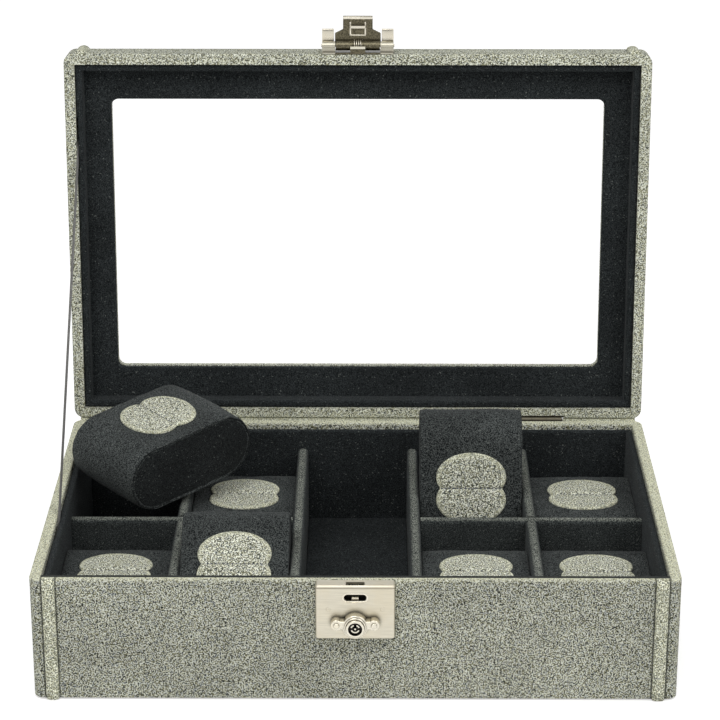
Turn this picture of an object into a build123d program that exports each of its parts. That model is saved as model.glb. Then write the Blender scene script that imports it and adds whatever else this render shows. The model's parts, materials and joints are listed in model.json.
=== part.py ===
from build123d import *
import math
import os

os.makedirs("parts", exist_ok=True)

# A leather-covered watch box with a window lid, a press lock and eight pillow cushions.
# The frame: +Z up, the front looks along -Y, the origin is the centre of the underside.
# The lid is drawn shut and then turned about its hinge line to the angle at which it rests open.

# Overall sizes, in millimetres
width = 300.0
depth = 194.0
base_h = 62.0
lid_h = 18.8
lid_open_deg = 94.7
corner_r = 5.0

# Wall build-up
leather_t = 0.8
board_t = 3.9
rim_w = leather_t + board_t + leather_t
felt_t = 1.0
bottom_t = 3.0
floor_top = 8.0
liner_t = 3.2
liner_drop = 2.8
liner_round = 1.3
rim_gap = 0.2
rim_round = 1.2
felt_in = 3.0
min_corner_r = 0.6

# Dividers
div_t = 5.5
div_top = 49.0
div_round = 2.2
bay_w = 52.15
fit = 0.2
pad_t = 1.0
pad_gap = 0.35

# Corner piping
piping_x = width / 2 - 9.0
piping_w = 6.4
piping_proud = 2.2
piping_low = 0.4
piping_drop = 0.5
lid_piping_drop = 0.8

# Where the compartments' inner faces stand
inner_x = width / 2 - rim_w - liner_t
inner_y = depth / 2 - rim_w - liner_t
col_outer_x = inner_x - bay_w - div_t / 2
col_inner_x = col_outer_x - bay_w - div_t
side_x = inner_x - bay_w / 2
col_x = (col_inner_x + col_outer_x) / 2

# Cushions and their leather patches
cushion_side_gap = 0.275
cushion_slack = 9.55
cushion_w = bay_w - 2 * cushion_side_gap
cushion_l = inner_y - div_t / 2 - cushion_slack
cushion_t = 35.0
cushion_lift = 0.15
side_draw = 3.2
shoulder_in = 1.4
shoulder_draw = 1.3
crown_draw = 0.25
patch_w = 35.3
patch_lobe = 12.5
patch_waist = 5.8
patch_t = 1.0
patch_sink = 1.2
patch_round = 0.5

# How the cushions lie, as in the photograph
front_gap = 1.3
back_gap = 0.65
leaning_deg = 32.4
leaning_gap = 4.2
leaning_lift = 0.27
raised_deg = 76.3
raised_shift = 3.255
raised_lift = 4.08
perched_dx = 15.942
perched_dy = 2.136
perched_dz = 9.15
perched_x_dir = (0.6586, -0.7511, -0.0457)
perched_z_dir = (-0.0550, -0.1086, 0.9926)

# Window in the lid
window_w = width - 2 * 22.6
window_l = depth - 2 * 24.9
window_r = 4.0
pane_t = 2.0
pane_lip = 5.6
top_board_t = 3.2
lid_round = 1.6
lid_floor_t = 2.0
lid_floor_round = 1.0
lid_liner_t = 3.7
lid_liner_rise = 1.6
lid_liner_lap = 0.2

# Stay ribbon, sewn behind both linings
ribbon_w = 6.0
ribbon_t = 0.5
ribbon_gap = 0.4
ribbon_run = depth * 0.758
ribbon_low = 8.0
ribbon_high = 6.0
ribbon_pocket_w = 28.0
ribbon_pocket_t = 1.0
anchor_depth = 12.0
lid_anchor_depth = 8.0
anchor_y = -depth / 6
ribbon_x = -(width / 2 - rim_w - ribbon_gap)

# Hinges
hinge_out = 0.4
hinge_y = depth / 2 + hinge_out
hinge_z = base_h + rim_gap / 2
hinge_x = width / 2 - 62.0
relief_gap = 0.4
relief_end = 1.0
knuckle_r = 1.7
pin_r = 0.8
pin_clear = 0.05
knuckle_n = 5
knuckle_l = 8.0
knuckle_gap = 0.15
leaf_t = 0.8
leaf_h = 13.0
leaf_gap = 2.2
web_h = 1.8
web_z = 1.6
pin_end = 0.3
screw_head_r = 1.9
screw_dome = 0.35
screw_round = 0.3
screw_slot_w = 0.5
screw_slot_d = 0.4
screw_pitch = 13.0
screw_share = 0.62

# Lock on the base
lock_w = 36.5
lock_h = 27.3
lock_proud = 6.0
lock_t = 1.0
lock_corner = 1.4
lock_edge = 1.2
slot_w = 8.7
slot_d = 3.2
slot_r = 0.6
window_slot_w = 10.4
window_slot_h = 3.3
eye_z = base_h - 6.2
key_z = base_h - 19.0
plug_r = 3.2
plug_sink = 1.2
plug_edge = 0.3
keyway_w = 0.9
keyway_h = 3.4
keyway_r = 0.8
keyway_up = 1.0
keyway_d = 3.5
boss_r = 5.85
boss_t = 4.6
boss_round = 0.5
collar_r = 4.25
collar_t = 2.0
collar_round = 0.4
lobe_x = 8.6
lobe_up = 0.9
lobe_r = 2.65
lobe_web = 4.0
rivet_r = 1.3
rivet_head = 0.7
rivet_round = 0.5
case_w = 29.0
case_h = 18.0
case_z = base_h - 16.0
case_out = 1.6
case_in = 0.3
case_corner = 1.0
case_bore = 4.0
plug_reach = 3.8
pocket_gap = 0.2

# Bolt behind the lock's cover
bolt_t = 1.2
bolt_w = 3.1
bolt_gap = 0.2
bolt_clear = 0.35
bolt_rise = 3.0
bolt_bar_w = 12.0
bolt_bar_h = 2.0
bolt_bar_up = 1.0
bolt_tip = 0.3

# Latch and hasp on the lid
latch_w = 36.0
latch_h = 12.5
latch_t = 0.8
latch_gap = 0.1
latch_corner = 2.0
latch_rivet_x = 14.6
latch_rivet_drop = 3.0
latch_rivet_r = 1.2
latch_rivet_t = 0.6
latch_rivet_round = 0.45
ear_in = 11.5
ear_out = 18.2
ear_r = 2.15
ear_web = 3.87
hasp_dy = 3.9
hasp_z = base_h + 4.0
barrel_r = 2.5
hasp_pin_r = 0.8
barrel_gap = 0.25
hasp_reach = 14.3
hasp_t = 1.0
hasp_off = 2.3
hasp_corner = 0.8
flap_half = 11.7
flap_half_end = 7.55
flap_step = 6.0
flap_step_end = 8.0
curl_r = 1.0
curl_in = 0.6
curl_half = 7.5
pin_proud = 0.4
tongue_out = 3.7
tongue_w = 7.6
tongue_t = 1.2
tongue_drop = 2.7
tongue_web_t = 0.7
tongue_web_z = 0.35
staple_w = 7.8
staple_reach = 4.0
staple_bar = 1.2
staple_round = 0.9
staple_z = eye_z + 0.6

front_y = -depth / 2
lid_z0 = base_h + rim_gap
lid_top = lid_z0 + lid_h
lid_axis = Axis((0, hinge_y, hinge_z), (1, 0, 0))
lock_y = front_y - lock_proud
hasp_y = front_y - hasp_dy


def shell(z0, z1, out, inn):
    """A rounded rectangular wall between two insets from the outer outline."""
    with BuildPart() as ring:
        with BuildSketch(Plane.XY.offset(z0)):
            RectangleRounded(width - 2 * out, depth - 2 * out, max(corner_r - out, min_corner_r))
            RectangleRounded(
                width - 2 * inn, depth - 2 * inn, max(corner_r - inn, min_corner_r),
                mode=Mode.SUBTRACT,
            )
        extrude(amount=z1 - z0)
    return ring.part


def plate(z0, z1, inset):
    """A flat rounded panel at an inset from the outer outline."""
    with BuildPart() as panel:
        with BuildSketch(Plane.XY.offset(z0)):
            RectangleRounded(width - 2 * inset, depth - 2 * inset, max(corner_r - inset, min_corner_r))
        extrude(amount=z1 - z0)
    return panel.part


def opened(part):
    """The same solid, turned with the lid from shut to its open rest."""
    return part.rotate(lid_axis, -lid_open_deg)


def hinge_relief(z0, z1):
    """Notches in a back corner where the two sets of knuckles turn."""
    run = knuckle_n * knuckle_l + 2 * relief_end
    with BuildPart() as cut:
        with Locations(*[(x, hinge_y, (z0 + z1) / 2) for x in (-hinge_x, hinge_x)]):
            Box(run, 2 * (knuckle_r + relief_gap), z1 - z0)
    return cut.part


base_relief = hinge_relief(hinge_z - knuckle_r - relief_gap, base_h + 1)
lid_relief = hinge_relief(lid_z0 - 1, hinge_z + knuckle_r + relief_gap)


def lock_pocket():
    """The pocket behind the lock's cover, through the leather and the front board."""
    with BuildPart() as cut:
        with Locations((0, front_y + (rim_w - leather_t) / 2 - pocket_gap, case_z)):
            Box(
                case_w + 2 * pocket_gap, rim_w - leather_t + 2 * pocket_gap,
                case_h + 2 * pocket_gap,
            )
    return cut.part


pocket = lock_pocket()

# Base boards
base_ring = shell(felt_t, base_h - leather_t, leather_t, leather_t + board_t)

with BuildPart() as base_front_board:
    add(base_ring)
    with Locations((0, front_y + (leather_t + board_t) / 2, base_h / 2)):
        Box(width, leather_t + board_t, base_h, mode=Mode.INTERSECT)
    add(pocket, mode=Mode.SUBTRACT)
base_front_board.part.label = "base_front_board"
export_step(base_front_board.part, "parts/base_front_board.step")

with BuildPart() as base_back_board:
    add(base_ring)
    with Locations((0, -front_y - (leather_t + board_t) / 2, base_h / 2)):
        Box(width, leather_t + board_t, base_h, mode=Mode.INTERSECT)
    add(base_relief, mode=Mode.SUBTRACT)
base_back_board.part.label = "base_back_board"
export_step(base_back_board.part, "parts/base_back_board.step")

with BuildPart() as base_side_boards:
    add(base_ring)
    with Locations((0, 0, base_h / 2)):
        Box(width, depth - 2 * (leather_t + board_t), base_h, mode=Mode.INTERSECT)
base_side_boards.part.label = "base_side_boards"
export_step(base_side_boards.part, "parts/base_side_boards.step")

with BuildPart() as base_bottom_board:
    add(plate(felt_t, felt_t + bottom_t, rim_w))
base_bottom_board.part.label = "base_bottom_board"
export_step(base_bottom_board.part, "parts/base_bottom_board.step")

with BuildPart() as underside_felt:
    add(plate(0, felt_t, felt_in))
underside_felt.part.label = "underside_felt"
export_step(underside_felt.part, "parts/underside_felt.step")


# Base leather: over the outside, the rim and down the inside, in a front panel and a wrap
def base_skin():
    """The whole cover of the base in one, before it is cut into its panels."""
    with BuildPart() as skin:
        add(shell(felt_t, base_h, 0, rim_w))
        fillet(skin.edges().filter_by_position(Axis.Z, base_h, base_h), radius=rim_round)
        add(shell(felt_t, base_h - leather_t, leather_t, leather_t + board_t), mode=Mode.SUBTRACT)
        add(base_relief, mode=Mode.SUBTRACT)
    return skin.part


base_cover = base_skin()

with BuildPart() as base_front_leather:
    add(base_cover)
    with Locations((0, front_y + rim_w / 2, base_h / 2)):
        Box(2 * piping_x, rim_w, base_h + 2, mode=Mode.INTERSECT)
    add(pocket, mode=Mode.SUBTRACT)
base_front_leather.part.label = "base_front_leather"
export_step(base_front_leather.part, "parts/base_front_leather.step")

with BuildPart() as base_wrap_leather:
    add(base_cover)
    with Locations((0, front_y + rim_w / 2, base_h / 2)):
        Box(2 * piping_x, rim_w, base_h + 2, mode=Mode.SUBTRACT)
base_wrap_leather.part.label = "base_wrap_leather"
export_step(base_wrap_leather.part, "parts/base_wrap_leather.step")


def welt(z0, z1):
    """The pair of padded ridges that cover the seams at the front corners."""
    with BuildPart() as ridge:
        for x in (-piping_x, piping_x):
            with BuildSketch(Plane.XY.offset(z0)):
                with Locations((x, front_y)):
                    Ellipse(piping_w / 2, piping_proud)
                    with Locations((0, piping_proud)):
                        Rectangle(piping_w + 2, 2 * piping_proud, mode=Mode.SUBTRACT)
            extrude(amount=z1 - z0)
    return ridge.part


with BuildPart() as base_piping:
    add(welt(piping_low, base_h - piping_drop))
base_piping.part.label = "base_piping"
export_step(base_piping.part, "parts/base_piping.step")

# Base lining: the floor, a loose pad in the large compartment, the walls and the dividers
with BuildPart() as base_lining_floor:
    add(plate(felt_t + bottom_t, floor_top, rim_w))
base_lining_floor.part.label = "base_lining_floor"
export_step(base_lining_floor.part, "parts/base_lining_floor.step")

with BuildPart() as centre_floor_pad:
    with Locations((0, 0, floor_top + pad_t / 2)):
        Box(2 * (col_inner_x - div_t / 2 - pad_gap), 2 * (inner_y - pad_gap), pad_t)
centre_floor_pad.part.label = "centre_floor_pad"
export_step(centre_floor_pad.part, "parts/centre_floor_pad.step")

liner_top = base_h - liner_drop
with BuildPart() as base_lining_walls:
    add(shell(floor_top, liner_top, rim_w, rim_w + liner_t))
    rounded = base_lining_walls.edges().filter_by_position(Axis.Z, liner_top, liner_top)
    fillet(rounded, radius=liner_round)
    with Locations((-(width / 2 - rim_w), anchor_y, liner_top)):
        Box(2 * ribbon_pocket_t, ribbon_pocket_w, 2 * anchor_depth, mode=Mode.SUBTRACT)
base_lining_walls.part.label = "base_lining_walls"
export_step(base_lining_walls.part, "parts/base_lining_walls.step")

half_z = (floor_top + div_top) / 2


def divider_profile(plane, across, run):
    """A panel with a rounded top, drawn on a plane across it and run along the plane's normal."""
    with BuildPart() as panel:
        with BuildSketch(plane) as profile:
            with Locations((across, half_z)):
                Rectangle(div_t, div_top - floor_top)
            fillet(profile.vertices().group_by(Axis.Y)[-1], radius=div_round)
        extrude(amount=run)
    return panel.part


def column_divider(x, halved):
    """A felt-covered divider from front to back, slotted from above where a row one crosses."""
    reach = inner_y - fit
    with BuildPart() as panel:
        add(divider_profile(Plane.XZ.offset(-reach), x, 2 * reach))
        if halved:
            with Locations((x, 0, div_top)):
                Box(div_t + 2, div_t + 2 * fit, 2 * (div_top - half_z), mode=Mode.SUBTRACT)
    return panel.part


def row_divider(side):
    """A short divider across two columns, slotted from below over the outer column divider."""
    x0 = col_inner_x + div_t / 2 + fit
    x1 = inner_x - fit
    with BuildPart() as panel:
        add(divider_profile(Plane.YZ.offset(min(side * x0, side * x1)), 0, x1 - x0))
        with Locations((side * col_outer_x, 0, floor_top)):
            Box(div_t + 2 * fit, div_t + 2, 2 * (half_z - floor_top), mode=Mode.SUBTRACT)
    return panel.part


columns = [(-col_outer_x, True), (-col_inner_x, False), (col_inner_x, False), (col_outer_x, True)]
for number, (x, halved) in enumerate(columns, 1):
    with BuildPart() as column:
        add(column_divider(x, halved))
    column.part.label = f"divider_column_{number}"
    export_step(column.part, f"parts/divider_column_{number}.step")

for name, side in (("left", -1), ("right", 1)):
    with BuildPart() as row:
        add(row_divider(side))
    row.part.label = f"divider_row_{name}"
    export_step(row.part, f"parts/divider_row_{name}.step")

# Lock: a pressed cover, the case sunk in the wall, a key plug in its boss, and a rising bolt
lock_mid_z = base_h - lock_h / 2
with BuildPart() as lock_plate:
    with Locations((0, front_y - lock_proud / 2, lock_mid_z)):
        Box(lock_w, lock_proud, lock_h)
    uprights = lock_plate.edges().filter_by(Axis.Z).group_by(Axis.Y)[0]
    fillet(uprights, radius=lock_corner)
    rims = lock_plate.faces().sort_by(Axis.Y)[0].edges().filter_by(Axis.X)
    fillet(rims, radius=lock_edge)
    with Locations((0, front_y - (lock_proud - lock_t) / 2, lock_mid_z)):
        Box(lock_w - 2 * lock_t, lock_proud - lock_t, lock_h - 2 * lock_t, mode=Mode.SUBTRACT)
    with BuildSketch(Plane.XZ.offset(-lock_y)):
        with Locations((0, eye_z)):
            SlotOverall(window_slot_w, window_slot_h)
        with Locations((0, key_z)):
            Circle(plug_r + pin_clear)
    extrude(amount=lock_t * 3, both=True, mode=Mode.SUBTRACT)
    with BuildSketch(Plane.XY.offset(base_h)):
        with Locations((0, front_y - tongue_out)):
            RectangleRounded(slot_w, slot_d, slot_r)
    extrude(amount=-lock_t * 1.5, mode=Mode.SUBTRACT)
lock_plate.part.label = "lock_plate"
export_step(lock_plate.part, "parts/lock_plate.step")

case_y0 = front_y - case_out
case_y1 = front_y + leather_t + board_t - case_in
with BuildPart() as lock_case:
    with Locations((0, (case_y0 + case_y1) / 2, case_z)):
        Box(case_w, case_y1 - case_y0, case_h)
    fillet(lock_case.edges().filter_by(Axis.Y), radius=case_corner)
    with BuildSketch(Plane.XZ.offset(-case_y0)):
        with Locations((0, key_z)):
            Circle(plug_r + pin_clear)
    extrude(amount=-case_bore, mode=Mode.SUBTRACT)
lock_case.part.label = "lock_case"
export_step(lock_case.part, "parts/lock_case.step")

rivet_spots = [(-lobe_x, key_z + lobe_up), (lobe_x, key_z + lobe_up)]
with BuildPart() as lock_boss:
    with BuildSketch(Plane.XZ.offset(-lock_y)):
        with Locations((0, key_z)):
            Circle(boss_r)
        with Locations(*rivet_spots):
            Circle(lobe_r)
        with Locations((0, key_z + lobe_up)):
            Rectangle(2 * lobe_x, lobe_web)
    extrude(amount=boss_t)
    fillet(lock_boss.faces().sort_by(Axis.Y)[0].outer_wire().edges(), radius=boss_round)
    with BuildSketch(Plane.XZ.offset(-lock_y + boss_t)):
        with Locations((0, key_z)):
            Circle(collar_r)
    extrude(amount=collar_t)
    fillet(lock_boss.faces().sort_by(Axis.Y)[0].edges(), radius=collar_round)
    with BuildSketch(Plane.XZ.offset(-lock_y)):
        with Locations((0, key_z)):
            Circle(plug_r + pin_clear)
        with Locations(*rivet_spots):
            Circle(rivet_r)
    extrude(amount=boss_t + collar_t, mode=Mode.SUBTRACT)
lock_boss.part.label = "lock_boss"
export_step(lock_boss.part, "parts/lock_boss.step")

with BuildPart() as lock_rivets:
    with BuildSketch(Plane.XZ.offset(-lock_y)):
        with Locations(*rivet_spots):
            Circle(rivet_r)
    extrude(amount=boss_t + rivet_head)
    heads = lock_rivets.faces().filter_by(Axis.Y).group_by(Axis.Y)[0]
    fillet(heads.edges(), radius=rivet_round)
lock_rivets.part.label = "lock_rivets"
export_step(lock_rivets.part, "parts/lock_rivets.step")

plug_front = lock_y - boss_t - collar_t + plug_sink
with BuildPart() as key_plug:
    with BuildSketch(Plane.XZ.offset(-plug_front)):
        with Locations((0, key_z)):
            Circle(plug_r)
    extrude(amount=-(case_y0 + plug_reach - plug_front))
    chamfer(key_plug.faces().sort_by(Axis.Y)[0].edges(), length=plug_edge)
    with BuildSketch(Plane.XZ.offset(-plug_front)):
        with Locations((0, key_z)):
            Rectangle(keyway_w, keyway_h)
        with Locations((0, key_z + keyway_up)):
            Circle(keyway_r)
    extrude(amount=-keyway_d, mode=Mode.SUBTRACT)
key_plug.part.label = "key_plug"
export_step(key_plug.part, "parts/key_plug.step")

bolt_y = lock_y + lock_t + bolt_gap + bolt_t / 2
bolt_z0 = key_z + plug_r + bolt_bar_up
bolt_z1 = staple_z - staple_bar / 2 - bolt_clear
with BuildPart() as lock_bolt:
    with Locations((0, bolt_y, (bolt_z0 + bolt_z1) / 2)):
        Box(bolt_w, bolt_t, bolt_z1 - bolt_z0)
    with Locations((0, bolt_y, bolt_z0 + bolt_bar_h / 2)):
        Box(bolt_bar_w, bolt_t, bolt_bar_h)
    chamfer(lock_bolt.faces().sort_by(Axis.Z)[-1].edges().filter_by(Axis.X), length=bolt_tip)
lock_bolt.part.label = "lock_bolt"
export_step(lock_bolt.part, "parts/lock_bolt.step")


# Hinges: two butt hinges on the back wall, with interleaved knuckles on a plain pin
def knuckles(parity, x0):
    """Every second knuckle of one hinge, from the first or from the second."""
    with BuildPart() as row:
        for k in range(knuckle_n):
            if k % 2 == parity:
                mid = x0 + (k - (knuckle_n - 1) / 2) * knuckle_l
                with BuildSketch(Plane.YZ.offset(mid - knuckle_l / 2 + knuckle_gap / 2)):
                    with Locations((hinge_y, hinge_z)):
                        Circle(knuckle_r)
                extrude(amount=knuckle_l - knuckle_gap)
    return row.part


def hinge_leaf(parity, up):
    """Both leaves of one kind, with countersunk holes; up is 1 for the lid and -1 for the base."""
    run = knuckle_n * knuckle_l
    leaf_y = depth / 2 + leaf_t / 2
    with BuildPart() as leaf:
        for x0 in (-hinge_x, hinge_x):
            with Locations((x0, leaf_y, hinge_z + up * (leaf_h / 2 + leaf_gap))):
                Box(run, leaf_t, leaf_h)
            for k in range(knuckle_n):
                if k % 2 == parity:
                    mid = x0 + (k - (knuckle_n - 1) / 2) * knuckle_l
                    with Locations((mid, leaf_y, hinge_z + up * web_z)):
                        Box(knuckle_l - knuckle_gap, leaf_t, web_h)
            add(knuckles(parity, x0))
            with BuildSketch(Plane.YZ.offset(x0 - run / 2 - 1)):
                with Locations((hinge_y, hinge_z)):
                    Circle(pin_r + pin_clear)
            extrude(amount=run + 2, mode=Mode.SUBTRACT)
        for x, z in screw_spots(up):
            with BuildSketch(Plane.XZ.offset(-depth / 2 - leaf_t)):
                with Locations((x, z)):
                    Circle(screw_head_r)
            extrude(amount=leaf_t, mode=Mode.SUBTRACT)
    return leaf.part


def screw_spots(up):
    """Where three screws go through each leaf."""
    z = hinge_z + up * (leaf_h * screw_share + leaf_gap)
    return [(x0 + k * screw_pitch, z) for x0 in (-hinge_x, hinge_x) for k in (-1, 0, 1)]


def screws(up):
    """Domed slotted screw heads that fill the holes in the leaves."""
    with BuildPart() as group:
        for x, z in screw_spots(up):
            with BuildSketch(Plane.XZ.offset(-depth / 2)):
                with Locations((x, z)):
                    Circle(screw_head_r)
            extrude(amount=-leaf_t - screw_dome)
        heads = group.faces().filter_by(Axis.Y).group_by(Axis.Y)[-1]
        fillet(heads.edges(), radius=screw_round)
        head_y = depth / 2 + leaf_t + screw_dome
        with Locations(*[(x, head_y, z) for x, z in screw_spots(up)]):
            Box(2 * screw_head_r + 1, 2 * screw_slot_d, screw_slot_w, mode=Mode.SUBTRACT)
    return group.part


with BuildPart() as hinge_base_leaves:
    add(hinge_leaf(0, -1))
hinge_base_leaves.part.label = "hinge_base_leaves"
export_step(hinge_base_leaves.part, "parts/hinge_base_leaves.step")

with BuildPart() as hinge_base_screws:
    add(screws(-1))
hinge_base_screws.part.label = "hinge_base_screws"
export_step(hinge_base_screws.part, "parts/hinge_base_screws.step")

with BuildPart() as hinge_lid_leaves:
    add(opened(hinge_leaf(1, 1)))
hinge_lid_leaves.part.label = "hinge_lid_leaves"
export_step(hinge_lid_leaves.part, "parts/hinge_lid_leaves.step")

with BuildPart() as hinge_lid_screws:
    add(opened(screws(1)))
hinge_lid_screws.part.label = "hinge_lid_screws"
export_step(hinge_lid_screws.part, "parts/hinge_lid_screws.step")

with BuildPart() as hinge_pins:
    for x0 in (-hinge_x, hinge_x):
        run = knuckle_n * knuckle_l + 2 * pin_end
        with BuildSketch(Plane.YZ.offset(x0 - run / 2)):
            with Locations((hinge_y, hinge_z)):
                Circle(pin_r)
        extrude(amount=run)
hinge_pins.part.label = "hinge_pins"
export_step(hinge_pins.part, "parts/hinge_pins.step")

# Lid boards
lid_bz0 = lid_z0 + leather_t
top_board_z = lid_top - leather_t - top_board_t
lid_ring = shell(lid_bz0, top_board_z, leather_t, leather_t + board_t)

with BuildPart() as lid_front_board:
    add(lid_ring)
    with Locations((0, front_y + (leather_t + board_t) / 2, lid_top)):
        Box(width, leather_t + board_t, 4 * lid_h, mode=Mode.INTERSECT)
lid_front_board.part = opened(lid_front_board.part)
lid_front_board.part.label = "lid_front_board"
export_step(lid_front_board.part, "parts/lid_front_board.step")

with BuildPart() as lid_back_board:
    add(lid_ring)
    with Locations((0, -front_y - (leather_t + board_t) / 2, lid_top)):
        Box(width, leather_t + board_t, 4 * lid_h, mode=Mode.INTERSECT)
    add(lid_relief, mode=Mode.SUBTRACT)
lid_back_board.part = opened(lid_back_board.part)
lid_back_board.part.label = "lid_back_board"
export_step(lid_back_board.part, "parts/lid_back_board.step")

with BuildPart() as lid_side_boards:
    add(lid_ring)
    with Locations((0, 0, lid_top)):
        Box(width, depth - 2 * (leather_t + board_t), 4 * lid_h, mode=Mode.INTERSECT)
lid_side_boards.part = opened(lid_side_boards.part)
lid_side_boards.part.label = "lid_side_boards"
export_step(lid_side_boards.part, "parts/lid_side_boards.step")


def window_cut(grow):
    """The window's prism, grown all round."""
    with BuildPart() as hole:
        with BuildSketch(Plane.XY.offset(lid_z0 - 5)):
            RectangleRounded(window_w + 2 * grow, window_l + 2 * grow, window_r + grow)
        extrude(amount=lid_h + 10)
    return hole.part


with BuildPart() as lid_top_board:
    add(plate(top_board_z, top_board_z + top_board_t, leather_t))
    add(window_cut(leather_t), mode=Mode.SUBTRACT)
lid_top_board.part = opened(lid_top_board.part)
lid_top_board.part.label = "lid_top_board"
export_step(lid_top_board.part, "parts/lid_top_board.step")

with BuildPart() as lid_leather:
    add(plate(lid_z0, lid_top, 0))
    rounded = lid_leather.edges().filter_by_position(Axis.Z, lid_top, lid_top)
    fillet(rounded, radius=lid_round)
    lower = lid_leather.edges().filter_by_position(Axis.Z, lid_z0, lid_z0)
    fillet(lower, radius=rim_round)
    add(window_cut(0), mode=Mode.SUBTRACT)
    add(shell(lid_bz0, top_board_z, leather_t, leather_t + board_t), mode=Mode.SUBTRACT)
    add(plate(lid_z0 - 1, top_board_z, rim_w), mode=Mode.SUBTRACT)
    with BuildPart(mode=Mode.PRIVATE) as core:
        add(plate(top_board_z, top_board_z + top_board_t, leather_t))
        add(window_cut(leather_t), mode=Mode.SUBTRACT)
    add(core.part, mode=Mode.SUBTRACT)
    add(lid_relief, mode=Mode.SUBTRACT)
lid_leather.part = opened(lid_leather.part)
lid_leather.part.label = "lid_leather"
export_step(lid_leather.part, "parts/lid_leather.step")

with BuildPart() as lid_piping:
    add(opened(welt(lid_z0 + piping_low, lid_top - lid_piping_drop)))
lid_piping.part.label = "lid_piping"
export_step(lid_piping.part, "parts/lid_piping.step")

pane_z = top_board_z - pane_t
with BuildPart() as window_pane:
    with BuildSketch(Plane.XY.offset(pane_z)):
        RectangleRounded(window_w + 2 * pane_lip, window_l + 2 * pane_lip, window_r)
    extrude(amount=pane_t)
window_pane.part = opened(window_pane.part)
window_pane.part.label = "window_pane"
export_step(window_pane.part, "parts/window_pane.step")

with BuildPart() as pane_retainer:
    add(plate(pane_z, top_board_z, rim_w))
    with BuildSketch(Plane.XY.offset(pane_z)):
        RectangleRounded(
            window_w + 2 * pane_lip + 2 * fit, window_l + 2 * pane_lip + 2 * fit, window_r
        )
    extrude(amount=pane_t, mode=Mode.SUBTRACT)
pane_retainer.part = opened(pane_retainer.part)
pane_retainer.part.label = "pane_retainer"
export_step(pane_retainer.part, "parts/pane_retainer.step")

lid_floor_z = pane_z - lid_floor_t
with BuildPart() as lid_lining_frame:
    add(plate(lid_floor_z, pane_z, rim_w))
    add(window_cut(-lid_liner_lap), mode=Mode.SUBTRACT)
    inner_edge = lid_lining_frame.faces().sort_by(Axis.Z)[0].inner_wires()[0].edges()
    fillet(inner_edge, radius=lid_floor_round)
lid_lining_frame.part = opened(lid_lining_frame.part)
lid_lining_frame.part.label = "lid_lining_frame"
export_step(lid_lining_frame.part, "parts/lid_lining_frame.step")

# The ribbon is sewn to the lid at its run from the hinge line
lid_anchor_y = hinge_y - ribbon_run
lid_liner_z = lid_z0 + lid_liner_rise
with BuildPart() as lid_lining_walls:
    add(shell(lid_liner_z, lid_floor_z, rim_w, rim_w + lid_liner_t))
    low = lid_lining_walls.edges().filter_by_position(Axis.Z, lid_liner_z, lid_liner_z)
    fillet(low, radius=liner_round)
    with Locations((-(width / 2 - rim_w), lid_anchor_y, lid_liner_z)):
        Box(2 * ribbon_pocket_t, ribbon_pocket_w, 2 * lid_anchor_depth, mode=Mode.SUBTRACT)
lid_lining_walls.part = opened(lid_lining_walls.part)
lid_lining_walls.part.label = "lid_lining_walls"
export_step(lid_lining_walls.part, "parts/lid_lining_walls.step")

# Stay ribbon, taut at the open rest
turn = math.radians(lid_open_deg)


def lid_point(y, z):
    """Where a point of the shut lid stands when the lid is open."""
    dy, dz = y - hinge_y, z - hinge_z
    return (
        hinge_y + dy * math.cos(turn) + dz * math.sin(turn),
        hinge_z - dy * math.sin(turn) + dz * math.cos(turn),
    )


low_end = (anchor_y, liner_top - ribbon_low)
high_end = lid_point(lid_anchor_y, lid_z0 + ribbon_high)
with BuildPart() as stay_ribbon:
    dy = high_end[0] - low_end[0]
    dz = high_end[1] - low_end[1]
    with BuildSketch(Plane.YZ.offset(ribbon_x - ribbon_t / 2)):
        mid = ((low_end[0] + high_end[0]) / 2, (low_end[1] + high_end[1]) / 2)
        with Locations(Location(mid, math.degrees(math.atan2(dz, dy)))):
            Rectangle(math.hypot(dy, dz), ribbon_w)
    extrude(amount=ribbon_t)
stay_ribbon.part.label = "stay_ribbon"
export_step(stay_ribbon.part, "parts/stay_ribbon.step")

# Latch plate on the lid, with its ears, web and tongue in one pressing
latch_z0 = lid_z0 + latch_gap
tongue_z = latch_z0 + tongue_web_z
with BuildPart() as latch_plate:
    with Locations((0, front_y - latch_t / 2, latch_z0 + latch_h / 2)):
        Box(latch_w, latch_t, latch_h)
    fillet(latch_plate.edges().filter_by(Axis.Y).group_by(Axis.Z)[-1], radius=latch_corner)
    for side in (-1, 1):
        with BuildSketch(Plane.YZ.offset(side * (ear_in + ear_out) / 2)):
            with Locations((hasp_y, hasp_z)):
                Circle(ear_r)
            with Locations(((hasp_y + front_y) / 2, hasp_z)):
                Rectangle(hasp_dy, ear_web)
        extrude(amount=(ear_out - ear_in) / 2, both=True)
    reach = tongue_out + tongue_t / 2
    with Locations((0, front_y - reach / 2, tongue_z)):
        Box(tongue_w, reach, tongue_web_t)
    drop = tongue_drop + tongue_web_t
    with Locations((0, front_y - tongue_out, tongue_z + tongue_web_t / 2 - drop / 2)):
        Box(tongue_w, tongue_t, drop)
    with BuildSketch(Plane.YZ.offset(-ear_out - 1)):
        with Locations((hasp_y, hasp_z)):
            Circle(hasp_pin_r)
    extrude(amount=2 * (ear_out + 1), mode=Mode.SUBTRACT)
latch_plate.part = opened(latch_plate.part)
latch_plate.part.label = "latch_plate"
export_step(latch_plate.part, "parts/latch_plate.step")

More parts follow.
